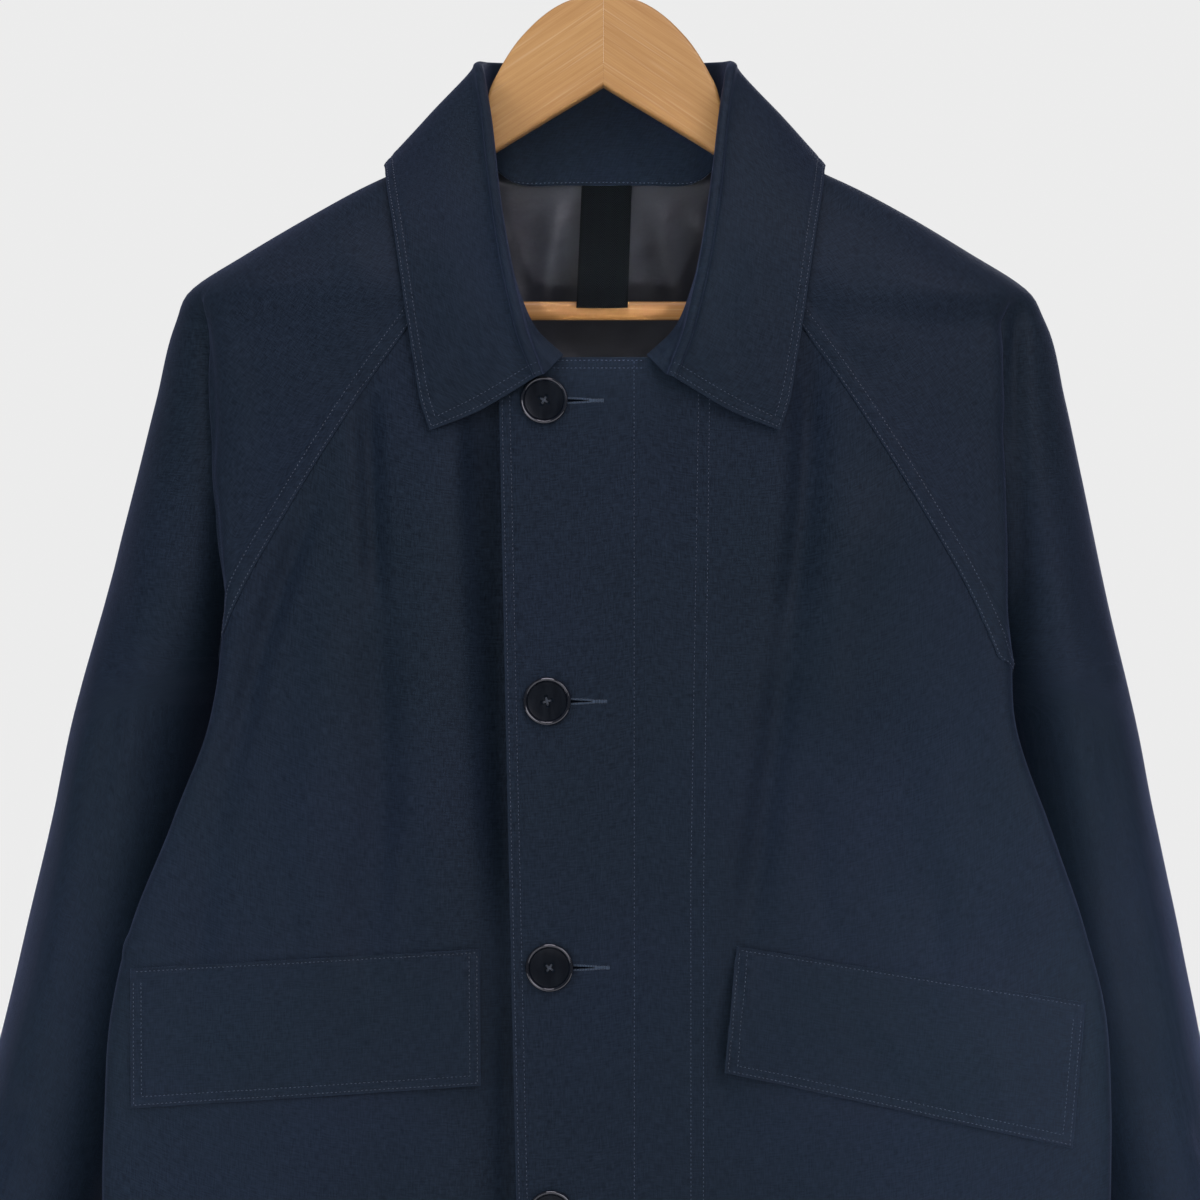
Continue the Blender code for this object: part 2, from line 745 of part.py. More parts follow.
def cut(target, cutter, collection):
    """Takes a hidden solid out of a piece."""
    for old in list(cutter.users_collection):
        old.objects.unlink(cutter)
    collection.objects.link(cutter)
    cutter.hide_render = True
    cutter.display_type = "WIRE"
    hole = target.modifiers.new("cut", "BOOLEAN")
    hole.operation = "DIFFERENCE"
    hole.solver = "EXACT"
    hole.object = cutter


def disc(name, radius, low, high, sides, middle, up, out, finish, collection):
    """A round solid standing out of a face, between two heights above it."""
    across = up.cross(out)
    bm = bmesh.new()
    bmesh.ops.create_cone(
        bm, cap_ends=True, segments=sides, radius1=radius, radius2=radius, depth=high - low
    )
    for vert in bm.verts:
        a, b, c = vert.co
        vert.co = (middle + across * a + up * b + out * (c + (low + high) / 2)) * MM
    bmesh.ops.recalc_face_normals(bm, faces=bm.faces[:])
    mesh = bpy.data.meshes.new(name)
    bm.to_mesh(mesh)
    bm.free()
    return put(name, mesh, finish, collection)


def button(number, x, z, finish, collection, cutters):
    """A four-hole button with a sunk middle, standing on the lap."""
    side = 1 if x >= 0 else -1
    t = t_at(side, z, abs(x))
    out = facing(side, z, t)
    up = (Vector((0, 0, 1)) - out * out.z).normalized()
    base = surface(side, z, t) + out * BUTTON_GAP
    made = disc(f"button_{number}", BUTTON_R, 0, BUTTON_TALL, 32, base, up, out, finish, collection)
    edge = made.modifiers.new("rim", "BEVEL")
    edge.width = 1.1 * MM
    edge.segments = 2
    edge.limit_method = "ANGLE"
    low, high = BUTTON_TALL - BUTTON_DISH, BUTTON_TALL + 2
    sunk = disc(f"sunk_{number}", BUTTON_DISH_R, low, high, 24, base, up, out, finish, cutters)
    cut(made, sunk, cutters)
    for k in range(4):
        a = math.radians(45 + 90 * k)
        spot = base + (up * math.sin(a) + up.cross(out) * math.cos(a)) * BUTTON_HOLE_AT
        hole = disc(f"hole_{number}_{k}", BUTTON_HOLE_R, -2, high, 8, spot, up, out, finish, cutters)
        cut(made, hole, cutters)
    return made


def hang_loop(finish, collection):
    """The doubled tape that hangs from the back neck."""
    run = (LOOP_END - LOOP_TOP).normalized()
    thin = Vector((1, 0, 0)).cross(run).normalized()
    rows = 8

    def place(i, j, inner):
        share = j / rows
        spot = LOOP_TOP.lerp(LOOP_END, share) + Vector((LOOP_WIDE * (i / 2 - 0.5), 0, 0))
        spot += thin * (LOOP_THICK / 2 * (1 if inner else -1))
        return spot

    return wall_grid("hang_loop", 2, rows, place, finish, collection)


def ridge_z(side, half):
    """The top line of the yoke at a distance from the middle."""
    low, high = -260.0, -131.0
    for _ in range(40):
        mid = (low + high) / 2
        if read("yoke", "out_" + hand(side), mid) > half:
            low = mid
        else:
            high = mid
    return (low + high) / 2


def wood_arm(side, finish, collection):
    """One arm of the hanger: a flat curved board with rounded edges, under the yoke's top line."""
    tops = [(row["x"], row["top"]) for row in CROWN]
    reach = [74.0, 86.0, 100.0, 120.0, 140.0, 160.0, 180.0, 198.0, 208.0]
    for x in reach:
        tops.append((x, ridge_z(side, x + side * WOOD_X) - WOOD_UNDER))
    lows = [(row["x"], row["low"]) for row in WOOD_LOW]
    places, levels = [row[0] for row in lows], [row[1] for row in lows]
    under = [(x, smooth(places, levels, x)) for x in range(12, 211, 22)]
    tip = (WOOD_TIP_X, (tops[-1][1] + levels[-1]) / 2)
    gap = SEAM_GAP / 2
    ring = [(gap, tops[0][1]), *tops[1:], tip, *reversed(under), (gap, levels[0])]
    curve = bpy.data.curves.new("arm", "CURVE")
    curve.dimensions = "2D"
    curve.fill_mode = "BOTH"
    curve.extrude = (WOOD_DEEP / 2 - WOOD_ROUND) * MM
    curve.bevel_depth = WOOD_ROUND * MM
    curve.bevel_resolution = 1
    curve.offset = -WOOD_ROUND * MM
    spline = curve.splines.new("POLY")
    spline.points.add(len(ring) - 1)
    for point, (x, z) in zip(spline.points, ring):
        point.co = ((WOOD_X + side * x) * MM, z * MM, 0, 1)
    spline.use_cyclic_u = True
    made = bpy.data.objects.new("hanger_arm_" + hand(side), curve)
    made.rotation_euler = (math.pi / 2, 0, 0)
    made.data.materials.append(finish)
    collection.objects.link(made)
    join = made.modifiers.new("weld", "WELD")
    join.merge_threshold = 0.00005
    return made


def rail(finish, collection):
    """The straight rail between the arms."""
    bm = bmesh.new()
    bmesh.ops.create_cube(bm, size=1)
    for vert in bm.verts:
        x, y, z = vert.co
        vert.co = (
            (WOOD_X + 2 * RAIL_HALF * x) * MM,
            (RAIL_Y + RAIL_DEEP * y) * MM,
            (RAIL_TOP_Z - RAIL_TALL / 2 + RAIL_TALL * z) * MM,
        )
    mesh = bpy.data.meshes.new("hanger_rail")
    bm.to_mesh(mesh)
    bm.free()
    made = put("hanger_rail", mesh, finish, collection)
    edge = made.modifiers.new("edges", "BEVEL")
    edge.width = 3.2 * MM
    edge.segments = 3
    return made


def hook(finish, collection):
    """The wire hook: a stem out of the crown, a bend, and a bow whose inside top is the origin."""
    radius = HOOK_INSIDE + HOOK_WIRE / 2
    path = [
        (WOOD_X, HOOK_FOOT_Z),
        (WOOD_X, -56.0),
        (WOOD_X + 0.4, -51.0),
        (WOOD_X + 2.6, -46.0),
        (WOOD_X + 6.6, -41.6),
    ]
    for k in range(22):
        a = math.radians(-52 + 12.4 * k)
        path.append((radius * math.cos(a), -HOOK_INSIDE + radius * math.sin(a)))
    curve = bpy.data.curves.new("hook", "CURVE")
    curve.dimensions = "3D"
    curve.bevel_depth = HOOK_WIRE / 2 * MM
    curve.bevel_resolution = 2
    curve.use_fill_caps = True
    spline = curve.splines.new("POLY")
    spline.points.add(len(path) - 1)
    for point, (x, z) in zip(spline.points, path):
        point.co = (x * MM, 0, z * MM, 1)
    made = bpy.data.objects.new("hanger_hook", curve)
    made.data.materials.append(finish)
    collection.objects.link(made)
    return made


def main():
    for old in list(bpy.data.objects):
        bpy.data.objects.remove(old)
    model = bpy.data.collections.new("raglan_jacket_on_hanger")
    cutters = bpy.data.collections.new("cutters")
    bpy.context.scene.collection.children.link(model)
    bpy.context.scene.collection.children.link(cutters)
    navy = material("navy_cotton", NAVY, 0.85)
    grey = material("lining_satin", GREY, 0.45)
    tape = material("tape_black", BLACK, 0.9)
    horn = material("button_black", BLACK, 0.25)
    wood = material("hanger_wood", WOOD, 0.5)
    steel = material("hook_steel", STEEL, 0.3, 1.0)
    for side in (1, -1):
        front(side, navy, model)
        sleeve(side, False, navy, model)
        sleeve(side, True, navy, model)
        flap(side, navy, model)
        wood_arm(side, wood, model)
    upper_rows = tuple(z for z in reversed(UPPER_ROWS) if z <= BACK_POINT_Z)
    back_rows = tuple(reversed(BODY_ROWS)) + upper_rows
    back_panel("back", back_rows, 0, CLOTH, 0, 0, navy, model)
    lining_rows = (LINING_HEM_Z,) + back_rows[1:-1:2] + back_rows[-1:]
    back_panel("back_lining", lining_rows, CLOTH + LINING_GAP, LINING, 1.0, 0.2, grey, model)
    collar_layer("collar_upper", 0, COLLAR_LAYER, 0.0, navy, model)
    under = COLLAR_LAYER + SEAM_GAP
    collar_layer("collar_under", under, under + COLLAR_LAYER, 0.012, navy, model)
    hang_loop(tape, model)
    for number, row in enumerate(BUTTONS, 1):
        button(number, row["x"], row["z"], horn, model, cutters)
    rail(wood, model)
    hook(steel, model)


main()
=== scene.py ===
"""The looks of a navy raglan jacket, buttoned, on a wooden hanger.

Every cloth piece is a fine lattice on the same surface as its CAD solid, given listed creases,
a wall and rounded edges. Shapes are worked out in millimetres and made in metres.
"""

import functools
import math

import bmesh
import bpy
import numpy as np
from mathutils import Matrix, Vector
from mathutils.bvhtree import BVHTree


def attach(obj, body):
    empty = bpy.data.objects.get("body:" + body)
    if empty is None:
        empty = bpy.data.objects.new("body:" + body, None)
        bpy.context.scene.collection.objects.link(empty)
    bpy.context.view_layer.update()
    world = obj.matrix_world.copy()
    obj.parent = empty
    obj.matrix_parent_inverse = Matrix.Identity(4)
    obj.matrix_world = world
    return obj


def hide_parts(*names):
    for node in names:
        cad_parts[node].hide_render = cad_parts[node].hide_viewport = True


MM = 0.001

# The part's own layers of cloth, the gap that stands for a seam and the one between two layers.
CLOTH = 1.2
COLLAR_LAYER = 1.0
FLAP_THICK = 1.8
SEAM_GAP = 0.5
LAYER_GAP = 0.4
# The finer walls that show.
THIN = 0.8
LINING_THIN = 0.6
FLAP_THIN = 1.5

# Levels that the cut of the jacket turns on.
TOP_Z = -131.0
SLEEVE_TOP_Z = -135.5
SHOULDER_Z = -222.0
NECK_FRONT_Z = -260.5
NECK_BACK_Z = -160.3
YOKE_POINT_Z = -184.0
BACK_POINT_Z = -158.0
SEAM_TURN_Z = -416.0
SEAM_TUCK_Z = -441.0
UNDERARM_Z = -452.0
HEM_Z = -878.0
CUFF_Z = -812.0

# The fronts overlap across the middle and each ends this far past it. Their neck edge runs level
# to this far on the other side.
OVERLAP = 51.5
FRONT_NECK_X = 22.0
# Cloth across a front from there to its seam, and across half the back.
FRONT_WIDE = 185.0
BACK_HALF = 190.0
# The under front dips this far behind the lapped edge, and passes under it over this width.
TUCK_IN = 4.5
TUCK_WIDE = 34.0

# Round a section, t runs from 0 at the centre front over 1 at the sleeve's outer line to 2 at the
# centre back. The body's edge and the tuck between body and sleeve stand at these shares of a half.
EDGE_T = 0.6
TUCK_T = 0.7


def table(columns, *rows):
    """Rows of numbers under named columns."""
    names = columns.split()
    return [dict(zip(names, row)) for row in rows]


# Above the shoulder ends a section is one rounded lobe that narrows up to the neck.
YOKE = table(
    "z out_left out_right front back power",
    (-131, 67.0, 66.0, 12.0, 11.0, 6.0),
    (-143, 86.5, 83.0, 16.5, 18.0, 6.5),
    (-158, 111.5, 108.0, 23.0, 33.0, 6.0),
    (-168, 133.0, 129.0, 29.5, 36.5, 5.0),
    (-180, 155.5, 151.0, 35.5, 38.0, 4.6),
    (-203, 194.0, 190.0, 46.5, 39.0, 5.0),
    (-222, 223.5, 219.0, 52.0, 40.0, 6.0),
    (-250, 236.0, 230.5, 57.0, 40.0, 6.0),
)

# The body's own lobe: centre front, front edge, side, shoulder blade and centre back.
BODY = table(
    "z front edge_left edge_right edge_y side_x side_y blade_x blade_y back",
    (-222, -52.0, 206.0, 208.5, -28.0, 188.0, 8.0, 203.0, 27.0, 40.0),
    (-260, -59.0, 207.5, 209.0, -34.0, 188.0, 8.0, 202.0, 30.0, 40.0),
    (-300, -63.0, 208.5, 207.5, -40.0, 188.0, 8.0, 200.0, 32.0, 40.0),
    (-350, -67.0, 210.5, 204.5, -47.0, 188.0, 8.0, 196.0, 34.0, 41.0),
    (-400, -70.0, 211.0, 199.0, -53.0, 188.0, 8.0, 190.0, 36.0, 42.0),
    (-452, -73.0, 213.0, 206.0, -58.0, 188.0, 8.0, 183.0, 37.0, 43.0),
    (-500, -76.0, 229.0, 223.5, -62.0, 187.0, 6.0, 181.0, 38.0, 43.0),
    (-550, -78.0, 246.0, 243.0, -65.0, 195.0, 2.0, 186.0, 39.0, 43.0),
    (-600, -80.0, 258.5, 255.0, -67.0, 205.0, 0.0, 194.0, 40.0, 43.0),
    (-650, -81.0, 261.0, 258.0, -68.0, 213.0, -1.0, 202.0, 41.0, 43.0),
    (-700, -82.0, 260.5, 259.0, -68.0, 219.0, -2.0, 208.0, 41.0, 43.0),
    (-800, -81.0, 261.5, 260.0, -67.0, 227.0, -2.0, 216.0, 41.0, 43.0),
    (-880, -80.0, 262.5, 261.0, -66.0, 231.0, -2.0, 220.0, 41.0, 43.0),
)

# The sleeve's lobe: an ellipse, turned so that its back lies behind the body. Above the underarm
# it is open towards the body between these two angles.
SLEEVE = table(
    "z out_left out_right half_wide half_deep mid_y turn open_front open_back",
    (-222, 223.5, 219.0, 27.0, 27.0, 0.0, 0.0, 290.0, 430.0),
    (-237, 232.5, 226.5, 29.0, 29.0, 1.0, 3.0, 276.0, 440.0),
    (-280, 244.0, 238.0, 35.0, 37.0, 4.0, 8.0, 256.0, 460.0),
    (-322, 253.0, 248.5, 39.0, 46.0, 8.0, 12.0, 240.0, 476.0),
    (-365, 262.0, 259.5, 41.0, 54.0, 12.0, 15.0, 222.0, 494.0),
    (-407, 271.0, 270.5, 40.0, 61.0, 15.0, 16.0, 204.0, 514.0),
    (-452, 281.0, 282.0, 38.5, 66.0, 17.0, 16.0, 185.0, 535.0),
    (-500, 290.0, 291.3, 39.5, 66.0, 18.0, 15.0, 180.0, 540.0),
    (-600, 310.0, 314.0, 41.0, 62.0, 16.0, 13.0, 180.0, 540.0),
    (-700, 331.0, 339.0, 40.0, 56.0, 13.0, 11.0, 180.0, 540.0),
    (-815, 357.0, 369.0, 37.0, 49.0, 10.0, 8.0, 180.0, 540.0),
)
# Cloth from a raglan seam to the body's edge, and how steeply a sleeve's cuff slants.
SLEEVE_TO_EDGE = 130.0
SLEEVE_SLANT = 0.23
# Each half of a sleeve reaches this far past the seam under the arm, which closes it.
SLEEVE_LAP = 0.35

# The neckline's half width where the fronts and sleeves end at it.
NECKLINE = table(
    "z half",
    (-131, 69.5),
    (-140, 68.0),
    (-150, 66.0),
    (-170, 60.5),
    (-190, 55.0),
    (-210, 49.0),
    (-230, 43.0),
    (-241, 38.5),
    (-253, 30.0),
    (NECK_FRONT_Z, FRONT_NECK_X),
)
BACK_NECK_RISE = 26.0
BACK_NECK_HALF = 69.0

# The raglan seams' half width, from the neckline down to where they turn under the arm.
RAGLAN = table(
    "z front back",
    (-158, 38.0, 49.5),
    (-184, 56.8, 68.0),
    (-251, 106.5, 114.0),
    (-275, 123.5, 130.0),
    (-297, 138.0, 143.0),
    (-320, 152.5, 155.5),
    (-345, 167.5, 168.0),
    (-372, 183.0, 178.0),
    (-399, 196.0, 186.0),
    (-416, 203.0, 190.0),
)

# Collar stations from the front end round to the centre back: the seam at the neck, the crest of
# the fold and the leaf's edge. The crest leans forward by `lean` degrees from straight up.
COLLAR = table(
    "seam_x seam_y seam_z fold_x fold_y fold_z lean edge_x edge_y edge_z",
    (21.4, -62.2, -259.3, 34.0, -71.2, -270.5, 75, 90.5, -65.4, -298.5),
    (35.3, -60.2, -246.0, 42.2, -70.6, -249.5, 75, 95.8, -63.6, -282.0),
    (42.8, -57.4, -230.0, 46.8, -67.0, -231.5, 70, 99.2, -60.8, -262.0),
    (48.9, -52.6, -210.0, 51.6, -61.5, -209.0, 58, 102.6, -58.0, -241.0),
    (54.8, -44.6, -190.0, 55.6, -54.0, -184.5, 42, 106.5, -53.2, -215.5),
    (59.6, -33.0, -170.0, 59.0, -42.0, -158.0, 25, 110.8, -42.0, -189.0),
    (62.6, -22.0, -154.0, 62.2, -27.0, -129.0, 10, 114.0, -29.5, -172.5),
    (64.6, -12.5, -138.0, 65.8, -10.0, -107.0, 0, 116.2, -13.5, -159.0),
    (66.4, 2.5, -132.0, 67.2, 6.0, -100.0, 0, 116.6, 3.0, -155.2),
    (62.2, 18.2, -143.5, 62.0, 25.0, -98.0, 0, 108.0, 31.5, -160.0),
    (50.0, 31.0, -156.6, 46.0, 38.0, -97.0, 0, 77.0, 41.5, -174.0),
    (26.0, 33.6, -159.6, 24.0, 41.2, -96.6, 0, 38.0, 41.8, -177.6),
    (0.0, 33.8, -159.9, 0.0, 41.8, -96.6, 0, 0.0, 42.0, -178.5),
)
# The fold's radius, and how far the leaf sags at its front end.
FOLD_R = 3.0
COLLAR_END_SAG = 2.6
# Across the collar, v runs from 0 at the neck seam over the crest to 1 at the leaf's edge: where
# the stand ends, the crest, and where the leaf starts.
STAND_V = 0.42
FOLD_V = 0.5
LEAF_V = 0.58
# Cloth along half the collar and its first stations, and across its stand and leaf.
COLLAR_HALF = 250.0
STATION_LONG = 19.0
STAND_TALL = 34.0
LEAF_TALL = 64.0

# The flaps' corners, as distance from the middle: the top's two ends, then the bottom's.
FLAPS = {
    "left": ((67.5, -563.5), (247.0, -593.0), (61.5, -627.5), (240.0, -667.5)),
    "right": ((64.0, -565.0), (244.0, -575.5), (63.5, -634.5), (243.5, -647.0)),
}
FLAP_WIDE = 182.0
FLAP_TALL = 72.0
# How far a flap's inner lower corner stands off its front.
FLAP_LIFT = {"left": 8.5, "right": 4.0}

# Buttons down the lap.
BUTTONS = table(
    "x z",
    (-31.5, -283.0),
    (-29.8, -438.2),
    (-28.5, -574.5),
    (-27.8, -700.5),
    (-27.5, -820.0),
)
BUTTON_R = 12.4
BUTTON_GAP = 0.3
BUTTON_HOLE_R = 1.1
BUTTON_HOLE_AT = 2.5
# A button's section from its middle over the rim to its underside: radius and height.
BUTTON_PROFILE = (
    (0.0, 1.1),
    (4.0, 1.12),
    (7.0, 1.28),
    (9.2, 1.6),
    (9.9, 1.75),
    (10.1, 1.55),
    (10.35, 1.75),
    (10.7, 2.35),
    (11.1, 2.72),
    (11.5, 2.8),
    (11.9, 2.62),
    (12.25, 2.15),
    (BUTTON_R, 1.5),
    (12.3, 0.9),
    (11.6, 0.2),
    (10.0, 0.0),
    (0.0, 0.0),
)
# The satin middle ends at this radius, and the thread's strands have this radius and half spacing.
BUTTON_MIDDLE_R = 10.05
STRAND = 0.28

# The hang loop, a doubled tape sewn at the back neck that comes down in front of the rail.
LOOP_WIDE = 27.0
LOOP_THICK = 1.9
LOOP_TOP = Vector((1.0, 30.8, -163.0))
LOOP_END = Vector((-1.6, -9.8, -231.6))

# The wooden hanger: its crown's top edge, its lower edge, and how far it keeps under the cloth.
WOOD_X = -0.8
WOOD_DEEP = 16.0
WOOD_ROUND = 2.0
WOOD_UNDER = 3.8
# Half the fine line that shows between the hanger's two arms.
WOOD_JOINT = 0.02
CROWN = table(
    "x top",
    (0.0, -66.5),
    (10.0, -67.2),
    (17.5, -68.8),
    (28.5, -74.5),
    (38.5, -83.0),
    (49.0, -95.5),
    (56.0, -107.5),
    (60.6, -117.5),
    (62.2, -123.5),
    (62.6, -136.0),
)
WOOD_LOW = table(
    "x low",
    (0.0, -114.0),
    (57.2, -148.7),
    (90.0, -169.5),
    (150.0, -205.0),
    (195.0, -231.5),
    (211.0, -238.5),
)
WOOD_TIP_X = 215.5
# The straight rail between the arms.
RAIL_TOP_Z = -228.0
RAIL_TALL = 9.6
RAIL_DEEP = 10.0
RAIL_HALF = 189.3
RAIL_Y = 0.0
RAIL_ROUND = 3.2
# The wire hook: thickness, inside radius, its foot in the wood, its stem's bends as seen from the
# front, and the bow's first angle and steps in degrees.
HOOK_WIRE = 3.6
HOOK_INSIDE = 19.0
HOOK_FOOT_Z = -66.2
HOOK_STEM = ((0, HOOK_FOOT_Z), (0, -56), (0.4, -51), (2.6, -46), (6.6, -41.6))
HOOK_START = -52.0
HOOK_STEP = 6.2

# The lining's lower edge, the level below which it hangs narrower, and its gap to the back.
LINING_HEM_Z = -853.0
LINING_MID_Z = -300.0
LINING_GAP = 0.9

# How far a body piece reaches under a raglan seam; how deep and how far a front reaches under the
# back at the side seam; and how far a sleeve's edge stands over the body along the raglan seam.
SEAM_UNDER = 1.8
SIDE_UNDER = Vector((1.1, 1.9))
SEAM_STEP = 0.95
# Distances from a finished edge at which a lattice has its first lines.
EDGE_LINES = (0, 0.35, 0.9, 1.6, 2.4, 3.3, 4.3, 5.2, 6.2, 7.2, 8.4, 10, 12)
# A finished edge thins by this share of its wall on each face, within this distance.
EDGE_THINNING = 0.38
EDGE_REACH = 0.55
# Topstitching: distances from an edge, then stitch spacing, length and width.
EDGE_ROW = 1.6
TOP_ROW = 5.6
RAGLAN_ROW = 9.0
HEM_ROW = 20.0
PITCH = 2.25
STITCH = 1.05
THREAD = 0.4
# A sewn row draws the cloth in by this much, and puckers it by this much beside the row.
GROOVE = 0.28
PUCKER = 0.16
# Stitches further from their shell than this are left out.
SEW_REACH = 6.0

# Creases: ends, sideways bow, half width and height (below 0 is a trough), for each zone.
CREASES = table(
    "zone x0 z0 x1 z1 bow wide deep",
    ("under", -69, -222, -50, -590, 0, 9, -7),
    ("under", -54, -215, -49, -620, 0, 8, -8),
    ("under", -52, -540, -46, -860, 0, 6, -6),
    ("front", -124, -262, -118, -400, 0, 6.5, -7.5),
    ("front", -119, -360, -120, -600, 3, 10, -6.5),
    ("front", -95, -280, -92, -600, 0, 14, 3.5),
    ("front", -146, -318, -200, -500, -5, 7, -7),
    ("front", -194, -440, -214, -600, 0, 8, -4.5),
    ("front", -140, -360, -158, -580, 0, 12, 3.5),
    ("front", 108, -240, 93, -430, 3, 9, -8.5),
    ("front", 97, -390, 70, -580, 0, 8.5, -7.5),
    ("front", 219, -214, 215, -330, -2, 5, -5.5),
    ("front", 216, -300, 215, -420, 1, 5, -5.5),
    ("front", -207, -310, -199, -415, 1, 4, -3),
    ("front", -272, -430, -300, -640, 4, 10, 1.8),
    ("front", 262, -440, 286, -640, -4, 10, -2.4),
    ("front", 68, -548, 60, -662, 1, 3.5, -3.2),
    ("front", -132, -500, -127, -582, 1, 5, -2.6),
    ("front", -97, -500, -99, -578, -1, 5, -2.4),
    ("front", -163, -520, -160, -584, 1, 5, -2.2),
    ("front", -120, -640, -128, -880, 4, 18, -5.9),
    ("front", -182, -660, -192, -880, -4, 20, 4.9),
    ("front", 133, -311, 116, -486, -4, 16, 5.3),
    ("front", 106, -470, 118, -574, -3, 6, -2.4),
    ("front", 170, -520, 173, -587, 1, 5, -2.4),
    ("front", 207, -540, 205, -592, 0, 5, -2.0),
    ("front", 150, -420, 168, -580, -5, 15, -4.2),
    ("front", 90, -650, 84, -880, 3, 14, -5.9),
    ("front", 150, -660, 156, -880, -3, 20, 5.3),
    ("front", 205, -660, 210, -880, 2, 12, -4.2),
    ("front", -247, -563, -240, -574, 1, 1.6, -1.6),
    ("front", -252, -556, -246, -570, 1, 3.0, 1.2),
    ("front", -211, -226, -206, -336, 3, 4, -2.9),
    ("front", -198, -236, -190, -336, 3, 8, 1.8),
    ("front", 202, -236, 206, -300, -2, 7, 2.0),
    ("front", 194, -242, 204, -274, 1, 2.6, -1.0),
    ("front", -120, -196, -150, -262, 8, 16, 2.3),
    ("front", 118, -196, 148, -266, -8, 16, 2.3),
    ("front", -250, -350, -268, -520, 4, 9, -3.2),
    ("front", -306, -672, -284, -683, -1, 2.6, -1.7),
    ("front", -300, -640, -316, -690, -3, 7, -2.9),
    ("front", -290, -700, -340, -770, 3, 8, -2.9),
    ("front", 250, -350, 270, -520, -4, 9, -3.2),
    ("front", 306, -650, 330, -720, 3, 7, -2.9),
    ("front", 300, -730, 345, -770, -3, 9, 3.5),
    ("flap", 132, -594, 162, -640, 3, 6, 1.3),
    ("flap", 96, -588, 104, -640, -2, 5, 1.0),
    ("flap", 196, -600, 206, -660, 2, 7, 1.2),
    ("flap", -120, -576, -126, -640, 2, 6, 1.1),
    ("flap", -176, -578, -184, -650, -2, 7, 1.2),
    ("flap", -84, -574, -90, -630, 2, 5, 0.9),
    ("back", -150, -230, -120, -520, 8, 20, -2.4),
    ("back", -60, -215, -72, -560, 5, 18, 2.0),
    ("back", 30, -250, 24, -640, -5, 16, -2.6),
    ("back", 96, -240, 118, -560, -8, 20, 2.2),
    ("back", 160, -380, 176, -640, 4, 14, -2.4),
    ("back", -168, -500, -176, -880, 4, 18, -2.6),
    ("back", -90, -520, -84, -880, -6, 22, 2.6),
    ("back", 60, -560, 72, -880, 6, 20, -3.0),
    ("back", 138, -600, 146, -880, -4, 18, 2.4),
    ("back", -250, -330, -290, -560, 5, 13, -2.0),
    ("back", -300, -560, -322, -700, -4, 9, 2.2),
    ("back", 248, -340, 280, -560, -5, 12, 1.4),
    ("back", 300, -600, 330, -740, 4, 9, -2.4),
    ("lining", -52, -166, -46, -232, -4, 9, 1.6),
    ("lining", -60, -172, -52, -250, 4, 8, -2.6),
    ("lining", -26, -166, -33, -240, 0, 7, -3.6),
    ("lining", 27, -168, 37, -228, 0, 8, -3.6),
    ("lining", 44, -180, 60, -186, 2, 5, -2.2),
    ("lining", 46, -196, 40, -262, -4, 8, -2.9),
    ("lining", 4, -238, 40, -276, 5, 9, 2.6),
    ("lining", -36, -246, 0, -280, -4, 8, -2.2),
    ("lining", -100, -260, -90, -700, 9, 22, 3.5),
    ("lining", 90, -280, 104, -760, -9, 24, -3.8),
    ("collar", -92, -190, -78, -262, 4, 11, 0.7),
    ("collar", -74, -232, -58, -300, -4, 9, -0.7),
    ("collar", 86, -186, 80, -262, -5, 12, 0.7),
    ("collar", 66, -250, 76, -296, 3, 8, -0.7),
)

# The lining lies this far in front of its place in the part, so that its creases stay clear of
# the back.
LINING_LIFT = -2.6

# How far the collar's inner band covers the back neck seam, at stations along the collar.
BAND = table(
    "station in_ down",
    (5, 0.0, 0.0),
    (6, 0.5, 4.0),
    (7, 1.4, 9.0),
    (8, 2.2, 11.0),
    (9, 2.6, 10.0),
    (10, 4.6, 6.4),
    (11, 5.0, 4.0),
    (12, 5.2, 3.7),
)

# In metres: how far apart the cotton's and the lining's threads lie, and the tape's ribs and stripes.
COTTON_THREAD = 0.00048
SATIN_THREAD = 0.0004
TAPE_RIB = 0.0015
TAPE_STRIPE = 0.00338

# The built walls by name, for other pieces to lie on.
SHELLS = {}

# The tables that are read at any level.
TABLES = {"yoke": YOKE, "body": BODY, "sleeve": SLEEVE, "neckline": NECKLINE, "raglan": RAGLAN}


def slopes(places, values):
    """A smooth curve's slope at each of its points, from its neighbours."""
    steps = [
        (values[i + 1] - values[i]) * (1 / (places[i + 1] - places[i]))
        for i in range(len(places) - 1)
    ]
    found = [steps[0]]
    for i in range(1, len(steps)):
        before, after = places[i] - places[i - 1], places[i + 1] - places[i]
        found.append((steps[i - 1] * after + steps[i] * before) * (1 / (before + after)))
    found.append(steps[-1])
    return found


def smooth(places, values, at):
    """The value at a place on the smooth curve through the values. Places rise."""
    at = min(max(at, places[0]), places[-1])
    i = max(k for k in range(len(places) - 1) if places[k] <= at)
    span = places[i + 1] - places[i]
    s = (at - places[i]) / span
    slope = slopes(places, values)
    rise = values[i + 1] - values[i]
    return (
        values[i]
        + rise * (s * s * (3 - 2 * s))
        + slope[i] * (span * s * (1 - s) ** 2)
        - slope[i + 1] * (span * s * s * (1 - s))
    )


@functools.lru_cache(maxsize=None)
def columns_of(name, rows):
    """A table's column as places down the garment and values."""
    listed = TABLES[rows]
    return tuple(-row["z"] for row in listed), tuple(row[name] for row in listed)


@functools.lru_cache(maxsize=None)
def read(rows, name, z):
    """A column of a table at a level between its rows."""
    places, values = columns_of(name, rows)
    return smooth(places, values, -z)


def ease(s):
    """0 to 1 with level ends."""
    s = min(max(s, 0.0), 1.0)
    return s * s * (3 - 2 * s)


def hand(side):
    """The wearer's left for 1 and right for -1."""
    return "left" if side > 0 else "right"


